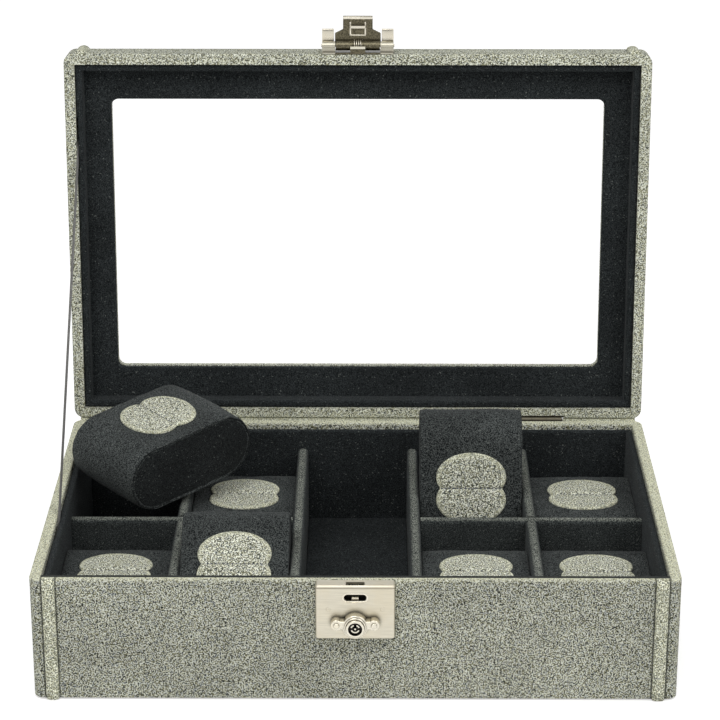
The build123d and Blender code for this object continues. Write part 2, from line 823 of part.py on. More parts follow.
with BuildPart() as latch_rivets:
    with BuildSketch(Plane.XZ.offset(-front_y + latch_t)):
        with Locations(*[
            (side * latch_rivet_x, latch_z0 + latch_h - latch_rivet_drop) for side in (-1, 1)
        ]):
            Circle(latch_rivet_r)
    extrude(amount=latch_rivet_t)
    heads = latch_rivets.faces().filter_by(Axis.Y).group_by(Axis.Y)[0]
    fillet(heads.edges(), radius=latch_rivet_round)
latch_rivets.part = opened(latch_rivets.part)
latch_rivets.part.label = "latch_rivets"
export_step(latch_rivets.part, "parts/latch_rivets.step")

# Hasp: drawn standing straight out from the lid's front, as it springs up
with BuildPart() as hasp_flap:
    flap_z = hasp_z + hasp_off
    outline = [
        (flap_half, hasp_y), (flap_half, hasp_y - flap_step),
        (flap_half_end, hasp_y - flap_step_end), (flap_half_end, hasp_y - hasp_reach),
    ]
    mirrored = [(-x, y) for x, y in reversed(outline)]
    with BuildSketch(Plane.XY.offset(flap_z)):
        with BuildLine():
            Polyline(*outline, *mirrored, close=True)
        make_face()
    extrude(amount=hasp_t)
    fillet(hasp_flap.edges().filter_by(Axis.Z), radius=hasp_corner)
    with BuildSketch(Plane.YZ):
        with Locations((hasp_y - hasp_reach + curl_in, flap_z + hasp_t)):
            Circle(curl_r)
    extrude(amount=curl_half, both=True)
    with BuildSketch(Plane.YZ):
        with Locations((hasp_y, hasp_z)):
            Circle(barrel_r)
    extrude(amount=ear_in - barrel_gap, both=True)
    with BuildSketch(Plane.YZ.offset(-ear_out)):
        with Locations((hasp_y, hasp_z)):
            Circle(hasp_pin_r + pin_clear)
    extrude(amount=2 * ear_out, mode=Mode.SUBTRACT)
hasp_flap.part = opened(hasp_flap.part)
hasp_flap.part.label = "hasp_flap"
export_step(hasp_flap.part, "parts/hasp_flap.step")

# Staple: a square bar bent to a U under the flap, which the bolt rises through
staple_run = hasp_z - staple_z
hole_reach = staple_reach - staple_bar
with BuildPart() as hasp_staple:
    with BuildSketch(Plane.XZ.offset(-(hasp_y - staple_run) - staple_bar / 2)):
        with Locations((0, hasp_z + hasp_off - staple_reach / 2)):
            Rectangle(staple_w, staple_reach)
        with Locations((0, hasp_z + hasp_off - hole_reach / 2)):
            Rectangle(staple_w - 2 * staple_bar, hole_reach, mode=Mode.SUBTRACT)
    extrude(amount=staple_bar)
    fillet(hasp_staple.edges().filter_by(Axis.Y).group_by(Axis.Z)[0], radius=staple_round)
hasp_staple.part = opened(hasp_staple.part)
hasp_staple.part.label = "hasp_staple"
export_step(hasp_staple.part, "parts/hasp_staple.step")

with BuildPart() as hasp_pin:
    with BuildSketch(Plane.YZ.offset(-ear_out - pin_proud)):
        with Locations((hasp_y, hasp_z)):
            Circle(hasp_pin_r)
    extrude(amount=2 * (ear_out + pin_proud))
hasp_pin.part = opened(hasp_pin.part)
hasp_pin.part.label = "hasp_pin"
export_step(hasp_pin.part, "parts/hasp_pin.step")


# Cushions: a pillow with full-round ends, drawn in at both sewn side faces
def pillow(frame):
    """One pillow, lofted across its width through stadium sections."""
    half = [
        (cushion_w / 2, side_draw), (cushion_w / 2 - shoulder_in, shoulder_draw),
        (cushion_w / 4, crown_draw),
    ]
    sections = [(-x, draw) for x, draw in half] + [(0.0, 0.0)] + half[::-1]
    with BuildPart() as body:
        for x, draw in sections:
            spot = frame.origin + frame.x_dir * x
            with BuildSketch(Plane(origin=spot, x_dir=frame.y_dir, z_dir=frame.x_dir)):
                SlotOverall(cushion_l - draw, cushion_t - draw)
        loft()
    return body.part


def patch_on(frame, body):
    """A figure-eight leather patch that lies on the pillow's face."""
    seat = Plane(
        origin=frame.origin + frame.z_dir * (cushion_t / 2 - patch_sink),
        x_dir=frame.x_dir, z_dir=frame.z_dir,
    )
    with BuildPart() as patch:
        with BuildSketch(seat):
            with Locations((0, -patch_waist), (0, patch_waist)):
                Ellipse(patch_w / 2, patch_lobe)
        extrude(amount=patch_sink + patch_t)
        rim = patch.faces().sort_by(Axis((0, 0, 0), tuple(frame.z_dir)))[-1].edges()
        fillet(rim, radius=patch_round)
        add(body, mode=Mode.SUBTRACT)
    return patch.part


def lying(x, y):
    """A cushion's frame, flat on the floor of its compartment."""
    return Plane(origin=(x, y, floor_top + cushion_t / 2 + cushion_lift), x_dir=(1, 0, 0))


def leaning(x, heel_y, heel_z, tilt):
    """A cushion's frame, turned up about the middle of its lower round end."""
    a = math.radians(tilt)
    reach = (cushion_l - cushion_t) / 2
    spot = (x, heel_y + reach * math.cos(a), heel_z + reach * math.sin(a))
    return Plane(origin=spot, x_dir=(1, 0, 0), z_dir=(0, -math.sin(a), math.cos(a)))


front_row_y = -(inner_y - cushion_l / 2 - front_gap)
back_row_y = div_t / 2 + back_gap + cushion_l / 2
heel_z = floor_top + cushion_t / 2
perched = Plane(
    origin=(-(side_x - perched_dx), back_row_y - perched_dy, base_h + perched_dz),
    x_dir=perched_x_dir, z_dir=perched_z_dir,
)
cushions = [
    lying(-side_x, front_row_y),
    leaning(
        -col_x, -(inner_y - cushion_t / 2 - leaning_gap), heel_z + leaning_lift, leaning_deg
    ),
    lying(col_x, front_row_y),
    lying(side_x, front_row_y),
    perched,
    lying(-col_x, back_row_y),
    leaning(col_x, back_row_y - raised_shift, heel_z + raised_lift, raised_deg),
    lying(side_x, back_row_y),
]
for number, frame in enumerate(cushions, 1):
    solid = pillow(frame)
    with BuildPart() as cushion:
        add(solid)
    cushion.part.label = f"cushion_{number}"
    export_step(cushion.part, f"parts/cushion_{number}.step")
    with BuildPart() as patch:
        add(patch_on(frame, solid))
    patch.part.label = f"patch_{number}"
    export_step(patch.part, f"parts/patch_{number}.step")
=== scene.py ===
"""A leather-covered watch box with a window lid, a press lock and eight pillow cushions."""

import json
import logging
import math
from dataclasses import dataclass
from enum import Enum
from typing import Callable, Sequence

import bmesh
import bpy
import numpy as np
from mathutils import Matrix, Vector, noise

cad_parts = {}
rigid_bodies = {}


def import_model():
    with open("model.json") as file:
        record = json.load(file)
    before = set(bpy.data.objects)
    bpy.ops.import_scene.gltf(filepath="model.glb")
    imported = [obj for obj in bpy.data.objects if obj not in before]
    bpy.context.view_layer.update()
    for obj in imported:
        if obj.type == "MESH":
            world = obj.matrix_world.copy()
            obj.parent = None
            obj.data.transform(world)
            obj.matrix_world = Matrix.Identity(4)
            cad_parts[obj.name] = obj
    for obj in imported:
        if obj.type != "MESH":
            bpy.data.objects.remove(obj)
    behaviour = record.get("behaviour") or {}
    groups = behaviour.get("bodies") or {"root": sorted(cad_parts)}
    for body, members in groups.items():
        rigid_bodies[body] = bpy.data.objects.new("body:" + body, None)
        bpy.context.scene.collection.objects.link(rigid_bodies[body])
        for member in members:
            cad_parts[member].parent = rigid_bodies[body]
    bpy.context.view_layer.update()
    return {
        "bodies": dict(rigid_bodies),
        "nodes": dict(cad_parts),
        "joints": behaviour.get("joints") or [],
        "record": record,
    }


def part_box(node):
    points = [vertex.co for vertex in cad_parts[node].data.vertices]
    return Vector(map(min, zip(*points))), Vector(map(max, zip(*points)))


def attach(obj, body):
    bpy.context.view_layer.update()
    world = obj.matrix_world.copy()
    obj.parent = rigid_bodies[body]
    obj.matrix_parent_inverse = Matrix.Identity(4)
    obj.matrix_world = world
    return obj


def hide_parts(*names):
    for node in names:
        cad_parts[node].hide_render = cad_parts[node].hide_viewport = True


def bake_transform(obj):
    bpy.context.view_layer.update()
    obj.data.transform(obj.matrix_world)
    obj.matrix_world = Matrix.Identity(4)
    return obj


log = logging.getLogger("watch_box")

Colour = tuple[float, float, float]
Point = Sequence[float]
Socket = bpy.types.NodeSocket
Material = bpy.types.Material
Piece = bpy.types.Object

# Sizes are in millimetres and become metres where a mesh or a material is made
MM = 0.001
RIM_Z = 62.0
FRONT_Y = -97.0
LOCK_Y = -103.0
LID_OPEN = math.radians(94.7)
LID_AXIS = Vector((0.0, 97.4, 62.1)) * MM


class Slot(Enum):
    """The record's material slots."""

    COVER = "cover_leather"
    PIPING = "piping_leather"
    PATCH = "patch_leather"
    FELT = "felt"
    CUSHION = "cushion_felt"
    RIBBON = "ribbon"
    SATIN = "satin_nickel"
    POLISHED = "polished_nickel"


class Lie(Enum):
    """How a cushion lies in the photograph."""

    FLAT = "flat"
    LEANING = "leaning"
    RAISED = "raised"
    PERCHED = "perched"


def screen(red: float, green: float, blue: float) -> Colour:
    """Turn a screen colour of 0 to 255 into the renderer's linear colour.

    Args:
        red: The red part.
        green: The green part.
        blue: The blue part.

    Returns:
        The three linear parts, 0 to 1.
    """
    shares = (value / 255.0 for value in (red, green, blue))
    return tuple(v / 12.92 if v <= 0.04045 else ((v + 0.055) / 1.055) ** 2.4 for v in shares)


def toned(colour: Colour, *shares: float) -> Colour:
    """A colour times one share, or times a share for each part."""
    return tuple(c * t for c, t in zip(colour, shares if len(shares) == 3 else shares * 3))


class Graph:
    """A small builder of nodes in one tree."""

    def __init__(self, tree: bpy.types.NodeTree) -> None:
        """Empty the tree that the nodes go to."""
        self.tree = tree
        self.tree.nodes.clear()

    def feed(self, target: Socket, value: object) -> None:
        """Link a socket to a target, or set the target's own value.

        Args:
            target: The input to set.
            value: A socket, a number, a colour or a material.
        """
        if isinstance(value, Socket):
            self.tree.links.new(value, target)
        elif isinstance(value, tuple) and len(value) == 3 and target.type == "RGBA":
            target.default_value = (*value, 1.0)
        else:
            target.default_value = value

    def add(self, kind: str, inputs: dict[str | int, object] | None = None,
            **settings: object) -> bpy.types.Node:
        """Add a node.

        Args:
            kind: The node's type name.
            inputs: Input names or numbers with sockets or values.
            settings: Properties to set on it.

        Returns:
            The new node.
        """
        node = self.tree.nodes.new(kind)
        for key, value in settings.items():
            setattr(node, key, value)
        for key, value in (inputs or {}).items():
            self.feed(node.inputs[key], value)
        return node

    def math(self, kind: str, first: object, second: object = 0.0) -> Socket:
        """The result of an operation on one or two numbers."""
        return self.add("ShaderNodeMath", {0: first, 1: second}, operation=kind).outputs[0]

    def times(self, first: object, *others: object) -> Socket:
        """The product of numbers.

        Args:
            first: A number or socket.
            others: The others.

        Returns:
            The product's socket.
        """
        for other in others:
            first = self.math("MULTIPLY", first, other)
        return first

    def span(self, value: object, low: float, high: float, to_low: float = 0.0,
             to_high: float = 1.0, smooth: bool = False) -> Socket:
        """Spread a range of values over another and hold it there.

        Args:
            value: The socket that is read.
            low: The value that becomes to_low.
            high: The value that becomes to_high.
            to_low: The result at low.
            to_high: The result at high.
            smooth: Whether the change eases in and out.

        Returns:
            The result's socket.
        """
        ends = {"Value": value, "From Min": low, "From Max": high, "To Min": to_low,
                "To Max": to_high}
        kind = "SMOOTHSTEP" if smooth else "LINEAR"
        node = self.add("ShaderNodeMapRange", ends, clamp=True, interpolation_type=kind)
        return node.outputs["Result"]

    def seen(self) -> Socket:
        """Whether a ray comes from the camera, a mirror or glass.

        Returns:
            A socket that is 1 for such a ray and 0 for light that is spread.
        """
        path = self.add("ShaderNodeLightPath").outputs
        clear = self.math("MAXIMUM", path["Is Camera Ray"], path["Is Transmission Ray"])
        return self.math("MAXIMUM", clear, path["Is Glossy Ray"])


class Shade(Graph):
    """A small builder of shader nodes in one material."""

    def __init__(self, name: str) -> None:
        """Start a material with one principled shader.

        Args:
            name: The material's name.
        """
        self.material = bpy.data.materials.new(name)
        self.material.use_nodes = True
        super().__init__(self.material.node_tree)
        self.bsdf = self.add("ShaderNodeBsdfPrincipled")
        self.add("ShaderNodeOutputMaterial", {"Surface": self.bsdf.outputs[0]})
        self.coords = self.add("ShaderNodeTexCoord").outputs["Object"]

    def noise(self, scale: float, detail: float = 2.0, rough: float = 0.5,
              vector: Socket | None = None) -> Socket:
        """A noise pattern in metres.

        Args:
            scale: How many features fit in a metre.
            detail: The number of finer layers.
            rough: How strong the finer layers are.
            vector: Where the pattern is read, or None for the object's place.

        Returns:
            The pattern's value, about 0.3 to 0.7.
        """
        sizes = {"Scale": scale, "Detail": detail, "Roughness": rough,
                 "Vector": vector or self.coords}
        return self.add("ShaderNodeTexNoise", sizes).outputs["Fac"]

    def over(self, value: object, low: float, high: float, to_low: float = 0.0,
             to_high: float = 1.0, smooth: bool = False) -> Socket:
        """A span whose range is in millimetres."""
        return self.span(value, low * MM, high * MM, to_low, to_high, smooth)

    def mix(self, factor: object, first: object, second: object) -> Socket:
        """The first colour with a share of the second."""
        return self.add("ShaderNodeMix", {0: factor, 6: first, 7: second},
                        data_type="RGBA").outputs[2]

    def scaled(self, colour: Socket, share: Socket) -> Socket:
        """A colour made lighter or darker by a share."""
        return self.add("ShaderNodeVectorMath", {0: colour, "Scale": share},
                        operation="SCALE").outputs[0]

    def split(self, vector: Socket | None = None) -> Sequence[Socket]:
        """The x, y and z of a place, or of the object's own."""
        return self.add("ShaderNodeSeparateXYZ", {0: vector or self.coords}).outputs[:3]

    def turned(self, location: Point, rotation: Point, scale: Point = (1, 1, 1)) -> Socket:
        """Read the object's place in a moved, turned or stretched frame.

        Args:
            location: What is added after the turn.
            rotation: The turn, in radians.
            scale: The stretch.

        Returns:
            The place's socket.
        """
        return self.add("ShaderNodeMapping", {
            "Location": location, "Rotation": rotation, "Scale": scale,
            "Vector": self.coords}, vector_type="POINT").outputs[0]

    def shut(self) -> Socket:
        """The place in a lid that is drawn open, read as if the lid were shut."""
        shift = LID_AXIS - Matrix.Rotation(LID_OPEN, 3, "X") @ LID_AXIS
        return self.turned(tuple(shift), (LID_OPEN, 0.0, 0.0))

    def hollow(self, reach: float, low: float, high: float, most: float) -> Socket:
        """How much painted shade a place gets for lying in a hollow.

        Args:
            reach: How far around it is looked at, in millimetres.
            low: The openness at which the result is most.
            high: The openness at which it is 0.
            most: The largest result.

        Returns:
            The result's socket.
        """
        node = self.add("ShaderNodeAmbientOcclusion", {"Distance": reach * MM}, samples=8)
        return self.span(node.outputs["AO"], low, high, most, 0.0)

    def bump(self, height: Socket, strength: float, distance: float) -> Socket:
        """A normal that follows a height, with a full step in metres."""
        return self.add("ShaderNodeBump", {"Strength": strength, "Distance": distance,
                                           "Height": height}).outputs[0]

    def set(self, **values: object) -> None:
        """Set or link the shader's own sockets, with spaces written as underscores."""
        for key, value in values.items():
            self.feed(self.bsdf.inputs[key.replace("_", " ")], value)


@dataclass(frozen=True)
class Finish:
    """A procedural finish.

    Attributes:
        name: The material's name.
    """

    name: str

    def paint(self, s: Shade) -> None:
        """Draw the finish in its material."""
        raise NotImplementedError

    def build(self) -> Material:
        """Make the material.

        Returns:
            The material.
        """
        s = Shade(self.name)
        self.paint(s)
        return s.material


@dataclass(frozen=True)
class SuedeLeather(Finish):
    """Worn speckled nubuck leather, in one of its uses.

    Attributes:
        dark: The grain's dark specks.
        light: The grain's light specks.
        blotch: How strongly broad patches differ.
        edges: The part whose worn edges and painted edge highlights are drawn, or an empty word
            for none.
        worn: The colour of worn edges and of the painted highlights on them.
        grain: How many specks fit in a metre.
        piping_x: How far the corner ridges stand from the middle.
    """

    dark: Colour
    light: Colour
    blotch: float = 0.11
    edges: str = ""
    worn: Colour = screen(226, 226, 196)
    grain: float = 1720.0
    piping_x: float = 141.0

    def paint(self, s: Shade) -> None:
        """Draw specks, warm and cool tints, broad patches, worn edges with painted highlights
        and painted shade in creases.

        Args:
            s: The material in the making.
        """
        grain = s.noise(self.grain, 0.6, 0.6)
        coarse = s.noise(900.0, 1.0, 0.5)
        grit = s.math("ADD", s.times(grain, 0.90), s.times(coarse, 0.10))
        colour = s.mix(s.span(grit, 0.485, 0.53), self.dark, self.light)
        warm = s.span(s.noise(980.0, 1.0, 0.5), 0.42, 0.60)
        colour = s.mix(s.times(warm, 0.45), colour, screen(172, 170, 132))
        cool = s.span(s.noise(760.0, 1.0, 0.5), 0.55, 0.68)
        colour = s.mix(s.times(cool, 0.35), colour, screen(112, 122, 134))
        broad = s.span(s.noise(24.0, 3.0, 0.6), 0.36, 0.66, 1.0 - self.blotch, 1.0 + self.blotch)
        colour = s.scaled(colour, broad)
        # Pale worn edges, with painted highlights on the base rim's top face and the lid's upper
        # edge
        if self.edges:
            colour = s.mix(self.wear_and_highlight(s), colour, self.worn)
        if self.edges == "base":
            # Painted shade in the creases beside the corner ridges
            colour = s.mix(self.grooves(s), colour, screen(44, 46, 40))
            colour = s.mix(self.inner_rim(s), colour, screen(42, 45, 43))
        height = s.math("ADD", grit, s.times(s.noise(210.0, 2.0, 0.5), 0.5))
        s.set(Base_Color=colour, Roughness=s.span(grain, 0.35, 0.65, 0.95, 0.72),
              Specular_IOR_Level=0.25, Normal=s.bump(height, 0.55, 0.00035))

    def wear_and_highlight(self, s: Shade) -> Socket:
        """Where the leather is drawn pale: worn along rims and outer corners, with a painted
        highlight on the base rim's top face and the lid's upper edge.

        Args:
            s: The material in the making.

        Returns:
            How much of the pale colour shows, 0 to 1.
        """
        x, y, z = s.split(s.coords if self.edges == "base" else s.shut())
        x, y = s.math("ABSOLUTE", x), s.math("ABSOLUTE", y)
        if self.edges == "base":
            rim = s.over(z, RIM_Z - 1.3, RIM_Z - 0.3, smooth=True)
            # Painted highlight: the top face of the base rim drawn pale
            rim_top_highlight = s.over(z, RIM_Z - 0.1, RIM_Z)
            rim = s.times(rim, s.math("MAXIMUM", s.over(x, 143.5, 145.0, 0.45), rim_top_highlight))
        else:
            rim = s.times(s.over(z, RIM_Z + 2.0, RIM_Z + 0.6, smooth=True), 0.16)
        corner = s.times(s.over(x, 147.6, 149.8), s.over(y, 94.6, 96.8), 0.7)
        # Painted highlight: the lid's top drawn pale, its upper edge when the lid stands open
        top = s.over(z, 79.4, 80.6, 0.0, 0.5)
        worn = s.math("MAXIMUM", s.math("MAXIMUM", rim, corner), top)
        return s.times(worn, s.span(s.noise(1500.0, 1.0, 0.6), 0.44, 0.56, 0.12, 0.95))

    def inner_rim(self, s: Shade) -> Socket:
        """The inner part of the front rim, where the lining's dark edge is turned over it.

        Args:
            s: The material in the making.

        Returns:
            How much of the dark edge shows, 0 to 1.
        """
        x, y, z = s.split()
        inner = s.times(s.over(y, -94.9, -94.4), s.over(y, -90.0, -90.4))
        middle = s.over(s.math("ABSOLUTE", x), 144.6, 144.2)
        return s.times(inner, middle, s.over(z, RIM_Z - 1.0, RIM_Z - 0.6))

    def grooves(self, s: Shade) -> Socket:
        """Painted shade in the creases beside the front corner ridges.

        Args:
            s: The material in the making.

        Returns:
            How strong the painted shade is, 0 to 1.
        """
        x, y, _ = s.split()
        off = s.math("SUBTRACT", s.math("ABSOLUTE", x), self.piping_x * MM)
        off = s.math("ABSOLUTE", off)
        return s.times(s.over(off, 2.75, 3.05), s.over(off, 4.1, 3.4),
                       s.over(y, -91.9, -92.3), 0.8)


@dataclass(frozen=True)
class WoolFelt(Finish):
    """Charcoal felt with pale flecks.

    Attributes:
        dark: The colour between the fibres.
        light: The colour of the fibres.
        flecks: How many flecks show, 0 to 1.
        highlight_top: The height from which a painted highlight lightens the felt's top, or 0.
        fleck: The colour of the pale flecks.
        fibre: How many tufts of fibres fit in a metre.
    """

    dark: Colour
    light: Colour
    flecks: float = 0.0
    highlight_top: float = 0.0
    fleck: Colour = screen(118, 122, 118)
    fibre: float = 2150.0

    def paint(self, s: Shade) -> None:
        """Draw fibres, flecks, broad patches and a painted highlight on the top.

        Args:
            s: The material in the making.
        """
        nap = s.noise(self.fibre, 1.0, 0.6)
        mixed = s.math("ADD", s.times(nap, 0.84), s.times(s.noise(640.0, 2.0, 0.55), 0.16))
        colour = s.mix(s.span(mixed, 0.455, 0.555), self.dark, self.light)
        # Painted highlight: the felt's top drawn paler, as where light falls from above
        if self.highlight_top:
            top_highlight = s.over(s.split()[2], self.highlight_top, self.highlight_top + 0.8)
            top_highlight = s.times(top_highlight, s.span(nap, 0.47, 0.56))
            colour = s.mix(top_highlight, colour, screen(152, 156, 146))
        spot = s.noise(1150.0, 1.0, 0.4)
        fleck = s.span(spot, 0.70 - 0.08 * self.flecks, 0.76 - 0.06 * self.flecks)
        colour = s.mix(s.times(fleck, 0.75), colour, self.fleck)
        colour = s.scaled(colour, s.span(s.noise(30.0, 2.0, 0.5), 0.38, 0.64, 0.86, 1.14))
        s.set(Base_Color=colour, Roughness=s.span(nap, 0.35, 0.65, 1.0, 0.85),
              Specular_IOR_Level=0.08, Sheen_Weight=0.10, Sheen_Roughness=0.5,
              Sheen_Tint=(0.5, 0.53, 0.53), Normal=s.bump(mixed, 0.8, 0.0004))


@dataclass(frozen=True)
class Nickel(Finish):
    """Warm nickel plate, drawn or polished.

    Attributes:
        colour: The metal's own colour.
        rough: Its lowest roughness.
        drawn: Whether fine lines run across it.
        crease: The height of the painted shade line at the cover's bend, or 0.
    """

    colour: Colour
    rough: float
    drawn: bool = False
    crease: float = 0.0

    def paint(self, s: Shade) -> None:
        """Draw fine lines, clouds, painted shade in hollows and a painted shade line at the
        crease.

        Args:
            s: The material in the making.
        """
        place = s.turned((0, 0, 0), (0, 0, 0), (0.04, 1.0, 1.0)) if self.drawn else s.coords
        lines = s.noise(2600.0 if self.drawn else 900.0, 3.0, 0.6, place)
        base = s.mix(s.span(lines, 0.3, 0.7, 0.0, 0.35), self.colour, toned(self.colour, 0.62))
        cloud = s.span(s.noise(130.0, 2.0, 0.5), 0.40, 0.66, 0.0, 0.3)
        base = s.mix(cloud, base, toned(self.colour, 0.96, 0.90, 0.78))
        # Painted shade: the metal darkened in hollows, from ambient occlusion
        base = s.mix(s.hollow(2.4, 0.35, 0.92, 1.0), base, toned(self.colour, 0.10))
        # Painted shade: a dark line where the cover bends from its top to its front
        if self.crease:
            _, y, z = s.split()
            line = s.times(s.over(z, self.crease, self.crease + 0.1),
                           s.over(z, self.crease + 0.5, self.crease + 0.4),
                           s.over(y, LOCK_Y + 1.0, LOCK_Y + 0.6))
            base = s.mix(s.times(line, 0.8), base, screen(96, 90, 76))
        s.set(Base_Color=base, Metallic=1.0,
              Roughness=s.span(lines, 0.3, 0.7, self.rough, self.rough + 0.16),
              Normal=s.bump(lines, 0.12 if self.drawn else 0.06, 0.00005))


@dataclass(frozen=True)
class HaspNickel(Finish):
    """Nickel darkened as painted shade under the hasp, with painted highlights on the ears and
    the tongue.

    Attributes:
        ear_x: Where the painted highlight on the ears starts across the box.
    """

    ear_x: float = 11.4

    def paint(self, s: Shade) -> None:
        """Draw scratched metal darkened as painted shade, with painted highlights on the ears
        and the tongue.

        Args:
            s: The material in the making.
        """
        x, _, z = s.split(s.shut())
        scratch = s.noise(1500.0, 3.0, 0.65)
        ears = s.over(s.math("ABSOLUTE", x), self.ear_x, self.ear_x + 0.2)
        tongue = s.over(z, RIM_Z - 0.1, RIM_Z - 0.4)
        # Painted highlights on the ears and the tongue
        bright = s.math("MAXIMUM", s.times(ears, 0.55), tongue)
        # Painted shade: the scratched metal under the hasp darkened
        dark = s.mix(s.span(scratch, 0.35, 0.65), screen(64, 60, 48), screen(116, 110, 90))
        colour = s.mix(bright, dark, screen(212, 208, 192))
        # Painted shade: darker still in hollows
        colour = s.mix(s.hollow(1.6, 0.35, 0.9, 0.9), colour, screen(26, 24, 20))
        s.set(Base_Color=colour, Metallic=1.0, Roughness=s.span(scratch, 0.3, 0.7, 0.24, 0.42),
              Normal=s.bump(scratch, 0.15, 0.00005))


@dataclass(frozen=True)
class RawBoard(Finish):
    """Bare fibreboard, where a cut edge shows inside a joint."""

    def paint(self, s: Shade) -> None:
        """Draw pressed fibres.

        Args:
            s: The material in the making.
        """
        fibre = s.noise(1400.0, 3.0, 0.7)
        tone = s.mix(s.span(fibre, 0.35, 0.65), screen(120, 100, 74), screen(168, 146, 112))
        s.set(Base_Color=tone, Roughness=0.9, Specular_IOR_Level=0.2,
              Normal=s.bump(fibre, 0.4, 0.0002))


@dataclass(frozen=True)
class SatinRibbon(Finish):
    """Dark grey woven ribbon, ribbed across its run."""

    def paint(self, s: Shade) -> None:
        """Draw the weave along the ribbon's own coordinates.

        Args:
            s: The material in the making.
        """
        wave = s.add("ShaderNodeTexWave", {
            "Scale": 60.0, "Distortion": 0.8, "Detail Scale": 30.0,
            "Vector": s.add("ShaderNodeTexCoord").outputs["UV"]},
            wave_type="BANDS", bands_direction="X")
        weave = s.math("ADD", s.times(wave.outputs["Fac"], 0.6),
                       s.times(s.noise(2400.0, 2.0, 0.6), 0.4))
        tone = s.mix(s.span(weave, 0.25, 0.75), screen(66, 66, 64), screen(112, 110, 105))
        s.set(Base_Color=tone, Roughness=0.55, Sheen_Weight=0.4,
              Normal=s.bump(weave, 0.5, 0.0002))


@dataclass(frozen=True)
class WindowGlass(Finish):
    """Thin clear glass that barely tints what is behind it."""

    def paint(self, s: Shade) -> None:
        """Draw clear glass with faint smears."""
        s.set(Base_Color=(0.98, 0.99, 0.99), IOR=1.45, Transmission_Weight=1.0, Alpha=0.10,
              Roughness=s.span(s.noise(36.0, 3.0, 0.6), 0.4, 0.75, 0.0, 0.008))


@dataclass(frozen=True)
class Thread(Finish):
    """Dark blue-grey sewing thread."""

    def paint(self, s: Shade) -> None:
        """Draw twisted thread.

        Args:
            s: The material in the making.
        """
        twist = s.noise(3200.0, 2.0, 0.6)
        tone = s.mix(s.span(twist, 0.35, 0.65), screen(40, 46, 66), screen(78, 86, 108))
        s.set(Base_Color=tone, Roughness=0.7, Normal=s.bump(twist, 0.4, 0.0001))


FINISHES: dict[str, Finish] = {
    "cover_base": SuedeLeather("cover_leather_base", screen(12, 16, 14),
                               screen(214, 217, 206), edges="base"),
    # The lid's copy has lighter specks: painted light, for the lid that catches more light than
    # the base
    "cover_lid_lit": SuedeLeather("cover_leather_lid_lit", screen(18, 22, 20), screen(230, 233, 219),
                              0.10, "lid"),
    "piping": SuedeLeather("piping_leather", screen(104, 107, 92), screen(252, 253, 232), 0.08),
    "patch": SuedeLeather("patch_leather", screen(56, 60, 52), screen(252, 254, 238), 0.06),
    "patch_edge": SuedeLeather("patch_edge_leather", screen(140, 142, 124),
                               screen(240, 241, 220), 0.05),
    "lining": WoolFelt("lining_felt", screen(21, 24, 25), screen(53, 57, 58)),
    # The divider felt is a lighter copy of the lining felt: painted light on the divider tops,
    # with a painted highlight from 48.2 mm up
    "divider": WoolFelt("divider_felt_lit", screen(30, 34, 34), screen(72, 76, 75), 0.5, 48.2),
    "cushion": WoolFelt("cushion_felt", screen(16, 19, 20), screen(82, 86, 85), 0.3),
    # The side panels' felt is a darker copy of the cushion felt: painted shade on the sides that
    # face away from the light
    "side": WoolFelt("cushion_side_felt_shaded", screen(15, 17, 18), screen(46, 49, 49)),
    "lining_nap": WoolFelt("lining_nap", screen(20, 22, 22), screen(36, 39, 39)),
    "nap": WoolFelt("felt_nap", screen(38, 42, 42), screen(78, 82, 79)),
    # Darkened nickel for the hinges: painted shade in the gap behind the lid
    "hinge_shade": Nickel("hinge_nickel_painted_shade", screen(92, 88, 76), 0.34),
    "satin": Nickel("satin_nickel", screen(206, 200, 183), 0.30, True, 60.3),
    "polished": Nickel("polished_nickel", screen(222, 216, 200), 0.16),
    "shaded": HaspNickel("hasp_nickel"),
    # Darkened metal for the lock case and the key plug: painted shade in the keyhole
    "lock_shade_metal": Nickel("lock_inner_painted_shade", screen(58, 55, 50), 0.40),
    "board": RawBoard("raw_fibreboard"),
    "ribbon": SatinRibbon("stay_ribbon_weave"),
    "glass": WindowGlass("window_glass"),
    "thread": Thread("waist_thread"),
}


def linked(name: str, data: bpy.types.Mesh) -> Piece:
    """Put a mesh in the scene.

    Args:
        name: The object's name.
        data: Its mesh.

    Returns:
        The object.
    """
    obj = bpy.data.objects.new(name, data)
    bpy.context.scene.collection.objects.link(obj)
    return obj


def reworked(obj: Piece, work: Callable[[bmesh.types.BMesh], None]) -> Piece:
    """Change an object's mesh by a function.

    Args:
        obj: A mesh object.
        work: What is done to its mesh.

    Returns:
        The same object.
    """
    bm = bmesh.new()
    bm.from_mesh(obj.data)
    work(bm)
    bm.to_mesh(obj.data)
    bm.free()
    obj.data.update()
    return obj


def outward(obj: Piece, merge: float = 0.001 * MM) -> Piece:
    """Merge doubles and point the faces outwards.

    Args:
        obj: A mesh object.
        merge: How near two points are that become one, in metres.

    Returns:
        The same object.
    """
    def work(bm: bmesh.types.BMesh) -> None:
        """Merge and turn."""
        bmesh.ops.remove_doubles(bm, verts=bm.verts, dist=merge)
        bmesh.ops.recalc_face_normals(bm, faces=bm.faces)

    return reworked(obj, work)


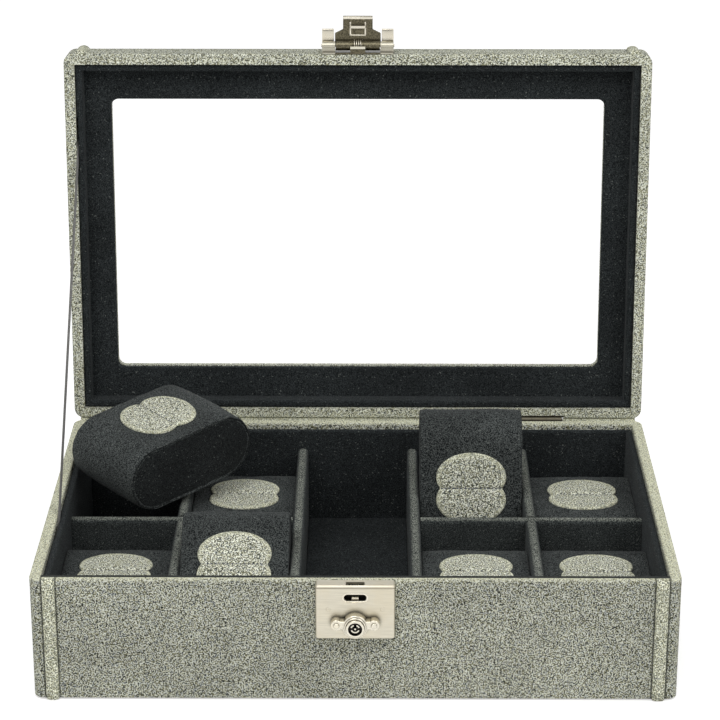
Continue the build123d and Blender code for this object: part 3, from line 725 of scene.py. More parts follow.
class Surface:
    """The points, in millimetres, and the faces of a mesh in the making."""

    def __init__(self) -> None:
        """Start with nothing."""
        self.verts: list[Point] = []
        self.faces: list[tuple[int, ...]] = []

    def bridge(self, rings: int, steps: int, start: int = 0) -> None:
        """Join closed rings of points that follow each other.

        Args:
            rings: How many rings.
            steps: How many points each has.
            start: The first ring's first point.
        """
        for ring in range(start, start + (rings - 1) * steps, steps):
            for k in range(steps):
                a, b = ring + k, ring + (k + 1) % steps
                self.faces.append((a, b, b + steps, a + steps))

    def fan(self, ring: int, steps: int, tip: Point) -> None:
        """Close a ring towards a new point.

        Args:
            ring: The ring's first point.
            steps: How many points it has.
            tip: The new point.
        """
        end = len(self.verts)
        self.verts.append(tip)
        self.faces += [(ring + k, ring + (k + 1) % steps, end) for k in range(steps)]

    def turn(self, profile: Sequence[tuple[float, float]], centre: tuple[float, float],
             steps: int = 48, flat: float = 0.0) -> None:
        """Turn a profile about a line that runs front to back.

        Args:
            profile: Radius and depth of each ring.
            centre: Where the line is, across and up.
            steps: How many sides.
            flat: Half the straight stretch across, for a slot.
        """
        start = len(self.verts)
        for r, y in profile:
            for k in range(steps):
                c, s = math.cos(2 * math.pi * k / steps), math.sin(2 * math.pi * k / steps)
                shift = math.copysign(flat, c) if abs(c) > 1e-9 else 0.0
                self.verts.append((centre[0] + shift + r * c, y, centre[1] + r * s))
        self.bridge(len(profile), steps, start)

    def block(self, low: Point, high: Point, ease: float) -> None:
        """Add a box with eased edges.

        Args:
            low: The box's low corner.
            high: Its high corner.
            ease: How much is taken off each edge.
        """
        bm = bmesh.new()
        bmesh.ops.create_cube(bm, size=1.0)
        for v in bm.verts:
            v.co = Vector([low[k] + (v.co[k] + 0.5) * (high[k] - low[k]) for k in range(3)])
        bmesh.ops.bevel(bm, geom=bm.edges[:], offset=ease, segments=3, profile=0.5,
                        affect="EDGES")
        start = len(self.verts)
        self.verts += [tuple(v.co) for v in bm.verts]
        bm.verts.index_update()
        self.faces += [tuple(start + v.index for v in f.verts) for f in bm.faces]
        bm.free()

    def made(self, name: str, material: Material, scale: float = MM,
             smooth: bool = True) -> Piece:
        """Make an object of the surface.

        Args:
            name: The object's name.
            material: The finish.
            scale: What the points are multiplied by.
            smooth: Whether the faces shade smoothly.

        Returns:
            The linked object.
        """
        data = bpy.data.meshes.new(name)
        data.from_pydata([tuple(c * scale for c in v) for v in self.verts], [], self.faces)
        data.update()
        if smooth:
            data.shade_smooth()
        data.materials.append(material)
        return linked(name, data)


def baked(obj: Piece) -> Piece:
    """Turn an object's modifiers into its plain mesh.

    Args:
        obj: The object.

    Returns:
        The same object, with no modifier left.
    """
    graph = bpy.context.evaluated_depsgraph_get()
    done = bpy.data.meshes.new_from_object(obj.evaluated_get(graph), depsgraph=graph)
    name = obj.data.name
    obj.modifiers.clear()
    obj.data = done
    done.name = name
    return obj


def place(piece: Piece, body: str, slot: Slot) -> None:
    """Give a piece its body."""
    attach(piece, body)


def open_lid(obj: Piece) -> Piece:
    """Turn a mesh drawn on the shut lid to the open rest.

    Args:
        obj: The object, drawn with the lid shut.

    Returns:
        The same object.
    """
    turn = Matrix.Rotation(-LID_OPEN, 4, "X")
    obj.data.transform(Matrix.Translation(LID_AXIS) @ turn @ Matrix.Translation(-LID_AXIS))
    obj.data.update()
    return obj


class Tree(Graph):
    """A small builder of one geometry node tree."""

    def __init__(self, name: str, sizes: dict[str, float]) -> None:
        """Start a tree with a geometry input and named sizes.

        Args:
            name: The tree's name.
            sizes: The named inputs and their usual values.
        """
        super().__init__(bpy.data.node_groups.new(name, "GeometryNodeTree"))
        face = self.tree.interface
        face.new_socket("Geometry", in_out="INPUT", socket_type="NodeSocketGeometry")
        self.keys: dict[str, str] = {}
        for key, value in sizes.items():
            socket = face.new_socket(key, in_out="INPUT", socket_type="NodeSocketFloat")
            socket.default_value = value
            self.keys[key] = socket.identifier
        face.new_socket("Geometry", in_out="OUTPUT", socket_type="NodeSocketGeometry")
        self.source = self.add("NodeGroupInput").outputs

    def close(self, result: Socket, material: Material) -> None:
        """Realize the instances, set the finish and end the tree.

        Args:
            result: The geometry so far.
            material: The finish.
        """
        real = self.add("GeometryNodeRealizeInstances", {"Geometry": result})
        dressed = self.add("GeometryNodeSetMaterial",
                           {"Geometry": real.outputs[0], "Material": material})
        self.add("NodeGroupOutput", {0: dressed.outputs[0]})

    def run(self, obj: Piece, sizes: dict[str, float]) -> Piece:
        """Run the tree on an object and keep the plain mesh.

        Args:
            obj: The object that is read.
            sizes: The named inputs to change.

        Returns:
            The same object, with the result as its mesh.
        """
        mod = obj.modifiers.new("tree", "NODES")
        mod.node_group = self.tree
        for key, value in sizes.items():
            mod[self.keys[key]] = value
        return baked(obj)


def nap_tree(material: Material) -> Tree:
    """Fine loose fibres that stand up from a felt surface.

    Args:
        material: The fibres' finish.

    Returns:
        The tree, with the sizes Density, Length, Thickness and Seed.
    """
    t = Tree("felt_nap", {"Density": 2.0e5, "Length": 1.1 * MM, "Thickness": 0.04 * MM,
                          "Seed": 7.0})
    seed = t.add("FunctionNodeFloatToInt", {"Float": t.source["Seed"]}).outputs[0]
    spots = t.add("GeometryNodeDistributePointsOnFaces",
                  {"Mesh": t.source["Geometry"], "Density": t.source["Density"],
                   "Seed": seed}, distribute_method="RANDOM").outputs
    hair = t.add("GeometryNodeMeshCone",
                 {"Vertices": 3, "Side Segments": 2, "Radius Top": 0.0,
                  "Radius Bottom": t.source["Thickness"], "Depth": t.source["Length"]},
                 fill_type="NONE")
    lean = t.add("FunctionNodeRandomValue",
                 {0: (-1.1, -1.1, -3.1), 1: (1.1, 1.1, 3.1), "Seed": seed},
                 data_type="FLOAT_VECTOR")
    turn = t.add("FunctionNodeRotateRotation", {"Rotation": spots["Rotation"],
                                                1: lean.outputs[0]}, rotation_space="LOCAL")
    length = t.add("FunctionNodeRandomValue", {2: 0.4, 3: 1.0, "Seed": seed},
                   data_type="FLOAT")
    many = t.add("GeometryNodeInstanceOnPoints",
                 {"Points": spots["Points"], "Instance": hair.outputs["Mesh"],
                  "Rotation": turn.outputs[0], "Scale": length.outputs[1]})
    t.close(many.outputs[0], material)
    return t


def stitch_tree(material: Material) -> Tree:
    """Short thread stitches along a line.

    Args:
        material: The thread's finish.

    Returns:
        The tree, with the sizes Pitch, Stitch and Thread.
    """
    t = Tree("stitches", {"Pitch": 1.9 * MM, "Stitch": 1.25 * MM, "Thread": 0.25 * MM})
    line = t.add("GeometryNodeMeshToCurve", {"Mesh": t.source["Geometry"]})
    spots = t.add("GeometryNodeResampleCurve",
                  {"Curve": line.outputs[0], "Length": t.source["Pitch"]}, mode="LENGTH")
    tangent = t.add("GeometryNodeInputTangent")
    turn = t.add("FunctionNodeAlignEulerToVector", {"Vector": tangent.outputs[0]}, axis="Z")
    pill = t.add("GeometryNodeMeshIcoSphere", {"Radius": 1.0, "Subdivisions": 2})
    thread = t.source["Thread"]
    shape = t.add("ShaderNodeCombineXYZ", {0: thread, 1: thread,
                                           2: t.times(t.source["Stitch"], 0.5)})
    many = t.add("GeometryNodeInstanceOnPoints",
                 {"Points": spots.outputs[0], "Instance": pill.outputs["Mesh"],
                  "Rotation": turn.outputs[0], "Scale": shape.outputs[0]})
    t.close(many.outputs[0], material)
    return t


@dataclass
class Kit:
    """What the parts of the box draw on.

    Attributes:
        nodes: The CAD nodes by name.
        finish: The material of each finish.
        nap: The tree that grows fibres on cushions and dividers.
        dark_nap: The tree that grows fibres on the linings.
        stitches: The tree that lays stitches.
    """

    nodes: dict[str, Piece]
    finish: dict[str, Material]
    nap: Tree
    dark_nap: Tree
    stitches: Tree


@dataclass
class Assembly:
    """A part of the box.

    Attributes:
        kit: What it draws on.
    """

    kit: Kit

    def dress(self, finish: str, *nodes: str) -> None:
        """Give CAD nodes a finish.

        Args:
            finish: The finish.
            nodes: The nodes.
        """
        for node in nodes:
            data = self.kit.nodes[node].data
            data.materials.clear()
            data.materials.append(self.kit.finish[finish])


@dataclass
class Pillow:
    """One watch cushion with its leather patch.

    Attributes:
        number: Which cushion it is.
        lie: How it lies.
        origin: Its middle.
        z_dir: The direction up out of its top.
        x_dir: The direction across it.
        width: Its width between the sewn side faces.
        length: Its length over the round ends.
        thick: Its thickness.
        draw: How far the sides pull in.
        roll_in: How far from the side its edge starts to roll.
        seam: How far inside the edge the side panel's seam runs.
        groove: How deep that seam pulls in.
        swell: How far the cloth may move when it is inflated.
        patch_w: The patch's width.
        patch_lobe: The half length of one lobe.
        patch_waist: How far each lobe stands from the waist.
        patch_t: The patch's thickness.
        sunk: How far the patch's foot lies under the felt's face.
        crease: How deep the patch is drawn in at its waist.
        free_x: Half the width on which fibres grow, clear of the dividers.
        free_z: The height over its middle from which they grow.
    """

    number: int
    lie: Lie
    origin: tuple[float, float, float]
    z_dir: tuple[float, float, float] = (0.0, 0.0, 1.0)
    x_dir: tuple[float, float, float] = (1.0, 0.0, 0.0)
    width: float = 51.6
    length: float = 76.0
    thick: float = 35.0
    draw: float = 0.9
    roll_in: float = 1.1
    seam: float = 3.0
    groove: float = 0.6
    swell: float = 0.7
    patch_w: float = 35.3
    patch_lobe: float = 12.5
    patch_waist: float = 5.8
    patch_t: float = 1.25
    sunk: float = 0.22
    crease: float = 0.75
    free_x: float = 24.6
    free_z: float = -6.0

    @property
    def frame(self) -> Matrix:
        """The cushion's frame, from millimetres in it to metres in the box."""
        z = Vector(self.z_dir).normalized()
        x = Vector(self.x_dir)
        x = (x - z * x.dot(z)).normalized()
        turn = Matrix((x, z.cross(x), z)).transposed()
        return Matrix.Translation(Vector(self.origin) * MM) @ (turn * MM).to_4x4()

    def stadium(self, draw: float, steps: int) -> list[tuple[float, ...]]:
        """Points round the pillow's long section, whose second half mirrors the first.

        Args:
            draw: How much is taken off the length and the thickness.
            steps: How many points.

        Returns:
            Place along and up, with the outward direction, for each point.
        """
        r = (self.thick - draw) / 2
        flat = self.length - draw - 2 * r
        half = flat + math.pi * r
        ring = []
        for k in range(steps):
            d = (k + 0.5) / steps * 2 * half
            side = 1.0 if d < half else -1.0
            d -= half * (d >= half)
            if d < flat:
                spot = (flat / 2 - d, r, 0.0, 1.0)
            else:
                a = math.pi / 2 + (d - flat) / r
                c, s = math.cos(a), math.sin(a)
                spot = (-flat / 2 + r * c, r * s, c, s)
            ring.append(tuple(side * v for v in spot))
        return ring

    def draw_at(self, x: float) -> float:
        """How far the section is drawn in at a place across the width."""
        t = min(1.0, abs(x) / (self.width / 2))
        return 0.9 * t ** 4 * self.draw + 0.1 * t * t * self.draw

    def lumps(self, p: Vector) -> float:
        """How far stuffing and seams push a point of the surface out.

        Args:
            p: The point.

        Returns:
            The distance, below 0 for inwards.
        """
        seed = Vector((self.number * 37.7, self.number * 11.3, 5.1))
        x, y, z = p
        near = max(0.0, 1.0 - abs(abs(x) - self.width / 2) / 9.0)
        pucker = noise.noise(Vector((y * 0.42, z * 0.42, x * 0.05)) + seed) * near * 0.34
        lump = noise.noise(p * 0.055 + seed) * 0.42
        slack = noise.noise(Vector((x * 0.16, y * 0.07, z * 0.16)) + seed) * 0.22
        return pucker + lump + slack - 0.15

    def body_mesh(self, finish: Material, side: Material) -> Piece:
        """The stuffed felt pillow: tube, rolled edges, seam grooves and side panels.

        Args:
            finish: The felt.
            side: The side panels' felt, a darker copy of the cushion felt as painted shade.

        Returns:
            The pillow, in its own frame in millimetres.
        """
        steps, rows = 132, 30
        half = self.width / 2
        middle = [-half + self.roll_in + (self.width - 2 * self.roll_in) * k / rows
                  for k in range(rows + 1)]
        # Distance from the side and how far the section is drawn in there
        roll = [(0.62, 0.14), (0.28, 0.46), (0.07, 0.95), (0.0, 1.6),
                (self.groove * 0.6, self.seam - 0.3), (self.groove, self.seam),
                (self.groove * 0.55, self.seam + 0.5)]
        panel = [(0.30, 5.6), (0.12, 7.6), (0.0, 11.0), (-0.05, 15.0), (-0.1, 20.0),
                 (-0.12, 25.0), (-0.12, 30.0)]
        edge = self.draw_at(half)
        right = [(half - a, edge + b) for a, b in roll + panel]
        left = [(-x, d) for x, d in reversed(right)]
        surface = Surface()
        for x, draw in left + [(x, self.draw_at(x)) for x in middle] + right:
            for y, z, ny, nz in self.stadium(min(draw, self.thick - 0.8), steps):
                p = Vector((x, y, z))
                surface.verts.append(p + Vector((0.0, ny, nz)) * self.lumps(p))
        rings = len(surface.verts) // steps
        surface.bridge(rings, steps)
        for base in (0, (rings - 1) * steps):
            centre = sum(surface.verts[base:base + steps], Vector()) / steps
            surface.fan(base, steps, centre)
        obj = outward(surface.made(f"pillow_{self.number}", finish, 1.0))
        obj.data.materials.append(side)
        rim = half - self.groove * 0.5 - 0.4
        low = self.thick / 2 - self.seam * 0.45
        for poly in obj.data.polygons:
            spots = [obj.data.vertices[i].co for i in poly.vertices]
            if abs(poly.normal.x) > 0.75 and all(
                    abs(p.x) > rim and abs(p.z) < low for p in spots):
                poly.material_index = 1
        return obj

    def puff(self, obj: Piece) -> None:
        """Inflate the pillow as cloth that is held at its seams.

        Args:
            obj: The pillow, in millimetres in its own frame.
        """
        rest = np.array([v.co[:] for v in obj.data.vertices])
        obj.data.transform(Matrix.Scale(MM, 4))
        held = obj.vertex_groups.new(name="seams")
        seam = self.width / 2 - self.groove - 0.02
        floor = -self.thick / 2 + 1.2
        held.add([i for i, v in enumerate(rest) if abs(v[0]) > seam or v[2] < floor],
                 1.0, "REPLACE")
        mod = obj.modifiers.new("cloth", "CLOTH")
        for key, value in {
                "quality": 5, "mass": 0.25, "tension_stiffness": 6.0,
                "compression_stiffness": 4.0, "bending_stiffness": 0.6, "use_pressure": True,
                "uniform_pressure_force": 3.0, "vertex_group_mass": "seams"}.items():
            setattr(mod.settings, key, value)
        mod.settings.effector_weights.gravity = 0.0
        mod.point_cache.frame_start, mod.point_cache.frame_end = 1, 16
        scene = bpy.context.scene
        for frame in range(1, 17):
            scene.frame_set(frame)
        graph = bpy.context.evaluated_depsgraph_get()
        done = obj.evaluated_get(graph).to_mesh()
        moved = np.array([v.co[:] for v in done.vertices]) / MM - rest
        obj.evaluated_get(graph).to_mesh_clear()
        obj.modifiers.clear()
        scene.frame_set(1)
        far = np.linalg.norm(moved, axis=1, keepdims=True)
        moved = np.where(far > self.swell, moved * self.swell / np.maximum(far, 1e-9), moved)
        final = rest + moved
        final[:, 0] = np.clip(final[:, 0], -self.width / 2, self.width / 2)
        obj.data.vertices.foreach_set("co", final.astype(np.float32).ravel())
        obj.data.update()

    def top_at(self, x: float, y: float) -> float:
        """The height of the pillow's face over a place on it."""
        draw = self.draw_at(x)
        r = (self.thick - draw) / 2
        over = max(0.0, abs(y) - (self.length - draw) / 2 + r)
        return math.sqrt(max(0.0, r * r - over * over))

    def outline(self, steps: int) -> list[tuple[float, float]]:
        """The patch's edge: where rays from its middle leave the farther lobe.

        Args:
            steps: How many points.

        Returns:
            The points, across and along.
        """
        a, b, w = self.patch_w / 2, self.patch_lobe, self.patch_waist
        line = []
        for k in range(steps):
            c, s = (f(2 * math.pi * (k + 0.5) / steps) for f in (math.cos, math.sin))
            best = 0.0
            for shift in (-w, w):
                square = (c / a) ** 2 + (s / b) ** 2
                linear = -2 * s * shift / b ** 2
                root = linear * linear - 4 * square * ((shift / b) ** 2 - 1)
                if root >= 0:
                    best = max(best, (-linear + math.sqrt(root)) / (2 * square))
            line.append((c * best, s * best))
        return line

    def patch_mesh(self, finish: Material, edge: Material) -> Piece:
        """The figure-eight leather patch, with rounded edges and a crease at its waist.

        Args:
            finish: The leather.
            edge: The paler leather of its cut edge.

        Returns:
            The patch, in the cushion's frame in millimetres.
        """
        steps = 120
        outline = self.outline(steps)
        # Share of the outline and height as a share of the thickness
        profile = [(0.25, 1.0), (0.5, 1.0), (0.72, 1.0), (0.88, 1.0), (0.955, 0.97),
                   (0.982, 0.86), (0.996, 0.62), (1.0, 0.34), (0.996, 0.0), (0.985, -0.4)]
        surface = Surface()
        for share, lift in profile:
            for x, y in ((x * share, y * share) for x, y in outline):
                crease = self.crease * math.exp(-(y / 0.7) ** 2) * (lift > 0.5)
                ripple = 0.10 * noise.noise(Vector((x * 0.3, y * 0.3, self.number * 3.1)))
                foot = self.top_at(x, y) - self.sunk
                surface.verts.append((x, y, foot + self.patch_t * lift - crease + ripple))
        top = self.top_at(0, 0)
        surface.fan(0, steps, (0.0, 0.0, top - self.sunk + self.patch_t - self.crease))
        surface.bridge(len(profile), steps)
        surface.fan((len(profile) - 1) * steps, steps, (0.0, 0.0, top - 0.8))
        obj = surface.made(f"leather_patch_{self.number}", finish, 1.0)
        obj.data.materials.append(edge)
        for poly in obj.data.polygons:
            if steps * 4 < poly.index < steps * len(profile):
                poly.material_index = 1
        return outward(obj)

    def waist_line(self) -> Piece:
        """The line that the patch's waist stitches follow.

        Returns:
            The line, in the cushion's frame in millimetres.
        """
        half = self.patch_w / 2 * math.sqrt(1 - (self.patch_waist / self.patch_lobe) ** 2) - 1.0
        count = 24
        across = [-half + 2 * half * k / count for k in range(count + 1)]
        verts = [(x, 0.0, self.top_at(x, 0) - 0.12 + self.patch_t - self.crease) for x in across]
        data = bpy.data.meshes.new(f"waist_stitches_{self.number}")
        data.from_pydata(verts, [(k, k + 1) for k in range(count)], [])
        return linked(data.name, data)

    def free(self, bm: bmesh.types.BMesh) -> None:
        """Keep only the faces that are clear of the dividers and the floor.

        Args:
            bm: The pillow's mesh, in the box.
        """
        back = self.frame.inverted()
        spots = {face: back @ face.calc_center_median() for face in bm.faces}
        hidden = [face for face, at in spots.items()
                  if abs(at.x) >= self.free_x or at.z <= self.free_z]
        bmesh.ops.delete(bm, geom=hidden, context="FACES")

    def make(self, kit: Kit) -> None:
        """Build the cushion, its patch, its stitches and its loose fibres.

        Args:
            kit: What it draws on.
        """
        body = f"cushion_{self.number}"
        pillow = self.body_mesh(kit.finish["cushion"], kit.finish["side"])
        self.puff(pillow)
        pillow.data.transform(self.frame)
        pillow.data.update()
        sub = pillow.modifiers.new("sub", "SUBSURF")
        sub.levels = sub.render_levels = 1
        baked(pillow)
        place(pillow, body, Slot.CUSHION)
        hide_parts(body)

        patch = self.patch_mesh(kit.finish["patch"], kit.finish["patch_edge"])
        patch.data.transform(self.frame)
        place(patch, body, Slot.PATCH)
        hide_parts(f"patch_{self.number}")

        line = self.waist_line()
        line.data.transform(self.frame)
        kit.stitches.run(line, {})
        place(line, body, Slot.PATCH)

        fuzz = reworked(linked(f"cushion_nap_{self.number}", pillow.data.copy()), self.free)
        kit.nap.run(fuzz, {"Density": 3.0e5, "Seed": float(self.number)})
        place(fuzz, body, Slot.CUSHION)
        log.info("cushion %d, %s", self.number, self.lie.value)


@dataclass
class CushionSet(Assembly):
    """The eight cushions, as they lie in the photograph.

    Attributes:
        inner_x: How far the inner columns stand from the middle.
        outer_x: How far the outer columns stand from it.
        front_y: The front row's middle.
        back_y: The back row's middle.
        seat_z: The height of a seated cushion's middle.
    """

    inner_x: float = 57.575
    outer_x: float = 115.225
    front_y: float = -49.0
    back_y: float = 41.4
    seat_z: float = 25.65

    def seated(self, number: int, x: float, y: float) -> Pillow:
        """A cushion that lies flat in its compartment."""
        return Pillow(number, Lie.FLAT, (x, y, self.seat_z))

    def leaning(self, number: int, lie: Lie, origin: tuple[float, float, float],
                tilt: float) -> Pillow:
        """A cushion that is turned up about X by a tilt in degrees."""
        a = math.radians(tilt)
        return Pillow(number, lie, origin, (0.0, -math.sin(a), math.cos(a)))

    def make(self) -> None:
        """Build every cushion."""
        for pillow in (
                self.seated(1, -self.outer_x, self.front_y),
                self.leaning(2, Lie.LEANING, (-self.inner_x, -49.291, 36.754), 32.4),
                self.seated(3, self.inner_x, self.front_y),
                self.seated(4, self.outer_x, self.front_y),
                Pillow(5, Lie.PERCHED, (-99.283, 39.264, 71.15),
                       (-0.0550, -0.1086, 0.9926), (0.6586, -0.7511, -0.0457)),
                self.seated(6, -self.inner_x, self.back_y),
                self.leaning(7, Lie.RAISED, (self.inner_x, 43.0, 49.5), 76.3),
                self.seated(8, self.outer_x, self.back_y)):
            pillow.make(self.kit)


@dataclass(frozen=True)
class Ridge:
    """The line of one padded ridge: up the front, round the edge and over the top.

    Attributes:
        foot: The height of its lower end.
        end: The height at which its straight run ends.
        rows: How many stretches the straight run has.
        bend: The radius of the bend.
        bend_z: The height of the bend's centre.
        step: The length of a stretch on the top.
        top: The height of the top.
        flat: How flat the ridge is on the top.
    """

    foot: float
    end: float
    rows: int
    bend: float
    bend_z: float
    step: float
    top: float
    flat: float

    def path(self) -> list[tuple[float, ...]]:
        """The ridge's line.

        Returns:
            Depth and height, and the outward direction, at each point.
        """
        line = [(FRONT_Y, self.foot + (self.end - self.foot) * k / self.rows, -1.0, 0.0)
                for k in range(self.rows + 1)]
        for k in range(1, 7):
            c, s = math.cos(math.pi * k / 12), math.sin(math.pi * k / 12)
            line.append((FRONT_Y + self.bend * (1 - c), self.bend_z + self.bend * s, -c, s))
        return line + [(FRONT_Y + self.bend + self.step * k, self.top, 0.0, 1.0)
                       for k in range(1, 5)]


@dataclass
class Piping(Assembly):
    """The padded ridges over the front corner seams, rolled over the rim.

    Attributes:
        body: The part of the box that they are on.
        ridge: The line that they follow.
        x: How far each stands from the middle.
        half_w: Half its width.
        proud: How far it stands out.
    """

    body: str
    ridge: Ridge
    x: float = 141.0
    half_w: float = 3.0
    proud: float = 2.2

    def rise(self, row: int, last: int, nz: float) -> float:
        """How much of its full height the ridge has at a row.

        Args:
            row: The row.
            last: The last row.
            nz: How far the ridge faces up there.

        Returns:
            The share.
        """
        flat = self.ridge.flat
        share = flat if nz > 0.5 else 1.0 - (1.0 - flat) * max(nz, 0.0) / 0.5
        if row > last - 3:
            share *= (last - row) / 3 * 0.8 + 0.05
        return share * (0.82 if row == 0 else 1.0)

    def make(self) -> None:
        """Build both ridges of this part of the box."""
        line = self.ridge.path()
        last, across = len(line) - 1, 18
        row = across + 1
        surface = Surface()
        for side in (-1, 1):
            start = len(surface.verts)
            for i, (y, z, ny, nz) in enumerate(line):
                rise = self.rise(i, last, nz)
                for k in range(row):
                    t = math.pi * k / across
                    wob = 1.0 + 0.06 * noise.noise(Vector((side * 9.0, z * 0.35, k * 0.2)))
                    u = -math.cos(t) * self.half_w * (0.94 + 0.06 * rise) * wob
                    d = (math.sin(t) ** 0.8) * self.proud * rise * wob - 0.25
                    surface.verts.append((side * self.x + u, y + ny * d, z + nz * d))
            # The ridge's back and its rounded face together make closed rings
            surface.bridge(len(line), row, start)
            for base in (start, start + last * row):
                surface.faces.append(tuple(range(base, base + row)))
        name = f"{self.body}_corner_piping"
        obj = outward(surface.made(name, self.kit.finish["piping"]))
        if self.body == "lid":
            open_lid(obj)
        place(obj, self.body, Slot.PIPING)
        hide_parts(f"{self.body}_piping")
        log.info("%s", name)


@dataclass
class Lining(Assembly):
    """The felt lining and dividers, with loose fibres along them.

    Attributes:
        plain: The nodes of felt without fibres.
        walls: The base's lining, with fibres.
        dividers: The dividers, with fibres.
        lid_nodes: The lid's lining, with fibres.
        density: How many fibres grow on a square metre of lining.
    """

    plain: tuple[str, ...] = ("base_lining_floor", "centre_floor_pad", "underside_felt")
    walls: tuple[str, ...] = ("base_lining_walls",)
    dividers: tuple[str, ...] = (
        "divider_column_1", "divider_column_2", "divider_column_3", "divider_column_4",
        "divider_row_left", "divider_row_right")
    lid_nodes: tuple[str, ...] = ("lid_lining_frame", "lid_lining_walls")
    density: float = 1.6e5

    def grow(self, node: str, seed: float) -> None:
        """Grow fibres on a node, and on columns only on the top, clear of the cushions.

        Args:
            node: The CAD node.
            seed: The fibres' seed.
        """
        def work(bm: bmesh.types.BMesh) -> None:
            """Merge doubles and drop a column's sides."""
            bmesh.ops.remove_doubles(bm, verts=bm.verts, dist=0.001 * MM)
            if "column" in node:
                bm.normal_update()
                sides = [face for face in bm.faces if face.normal.z <= 0.5]
                bmesh.ops.delete(bm, geom=sides, context="FACES")

        fuzz = reworked(linked(f"{node}_nap", self.kit.nodes[node].data.copy()), work)
        divider = node in self.dividers
        tree = self.kit.nap if divider else self.kit.dark_nap
        density = self.density * (2.0 if divider else 1.0)
        tree.run(fuzz, {"Density": density, "Length": 0.9 * MM, "Seed": seed})
        place(fuzz, "lid" if node in self.lid_nodes else "base", Slot.FELT)

    def make(self) -> None:
        """Dress the felt nodes and grow their fibres."""
        self.dress("lining", *self.plain, *self.walls, *self.lid_nodes)
        # The dividers get the lighter copy of the felt, painted light
        self.dress("divider", *self.dividers)
        for k, node in enumerate(self.dividers + self.lid_nodes + self.walls):
            self.grow(node, 21.0 + k)
        log.info("felt lining")


@dataclass
class Cover(Assembly):
    """The leather cover, the boards under it and the window's glass."""

    def make(self) -> None:
        """Dress the leather, board and glass nodes."""
        self.dress("cover_base", "base_front_leather", "base_wrap_leather")
        # The lid gets the lighter copy of the leather, painted light
        self.dress("cover_lid_lit", "lid_leather")
        self.dress("glass", "window_pane")
        self.dress("board", "pane_retainer", *(
            node for node in self.kit.nodes if node.endswith(("_board", "_boards"))))
        log.info("leather cover")


@dataclass
class StayRibbon(Assembly):
    """The ribbon that stops the lid at its open rest.

    Attributes:
        width: Its width.
        thick: Its thickness.
        sewn: The share of its length that is sewn down at each end; it is not used.
    """

    width: float = 6.0
    thick: float = 0.5
    sewn: float = 0.12

    def run(self) -> tuple[Vector, Vector]:
        """Fit the ribbon's run into its CAD node's box.

        Returns:
            Its middle, and half its run as a vector.
        """
        low, high = (Vector(corner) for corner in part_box("stay_ribbon"))
        _, deep, tall = high - low
        wide = self.width * MM
        angle = math.atan2(tall - 4 * MM, deep - 4 * MM)
        for _ in range(20):
            length = (deep - wide * math.sin(angle)) / math.cos(angle)
            angle = math.asin((tall - wide * math.cos(angle)) / length)
        half = Vector((0.0, math.cos(angle), math.sin(angle))) * length / 2
        return (low + high) / 2, half

    def make(self) -> None:
        """Build the woven ribbon in its CAD node's place and hide the node."""
        middle, half = self.run()
        start, length = middle - half, 2 * half.length
        side = Vector((0.0, -half.z, half.y)).normalized()
        rows, across = 90, 6
        row, grid = across + 1, (rows + 1) * (across + 1)
        surface, uvs = Surface(), []
        for face_side in (-1, 1):
            for i in range(rows + 1):
                for k in range(row):
                    u = (k / across - 0.5) * 2
                    bend = 0.08 * math.cos(u * math.pi / 2) - 0.06
                    p = start + half * (2 * i / rows) + side * (u * self.width / 2 * MM)
                    p.x += (face_side * self.thick / 2 + bend) * MM
                    surface.verts.append(p)
                    uvs.append((i / rows * length / self.width / MM, k / across))
        faces = surface.faces
        for i in range(rows):
            for k in range(across):
                a = i * row + k
                b = a + grid
                faces += [(a, a + 1, a + row + 1, a + row), (b, b + row, b + row + 1, b + 1)]
            for a in (i * row, i * row + across):
                faces.append((a, a + row, a + row + grid, a + grid))
        for a in (*range(across), *range(rows * row, rows * row + across)):
            faces.append((a, a + grid, a + grid + 1, a + 1))
        obj = surface.made("ribbon_weave", self.kit.finish["ribbon"], 1.0, smooth=False)
        layer = obj.data.uv_layers.new(name="UVMap")
        for loop in obj.data.loops:
            layer.data[loop.index].uv = uvs[loop.vertex_index]
        outward(obj, 0.0001 * MM)
        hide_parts("stay_ribbon")
        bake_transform(obj)
        log.info("stay ribbon")


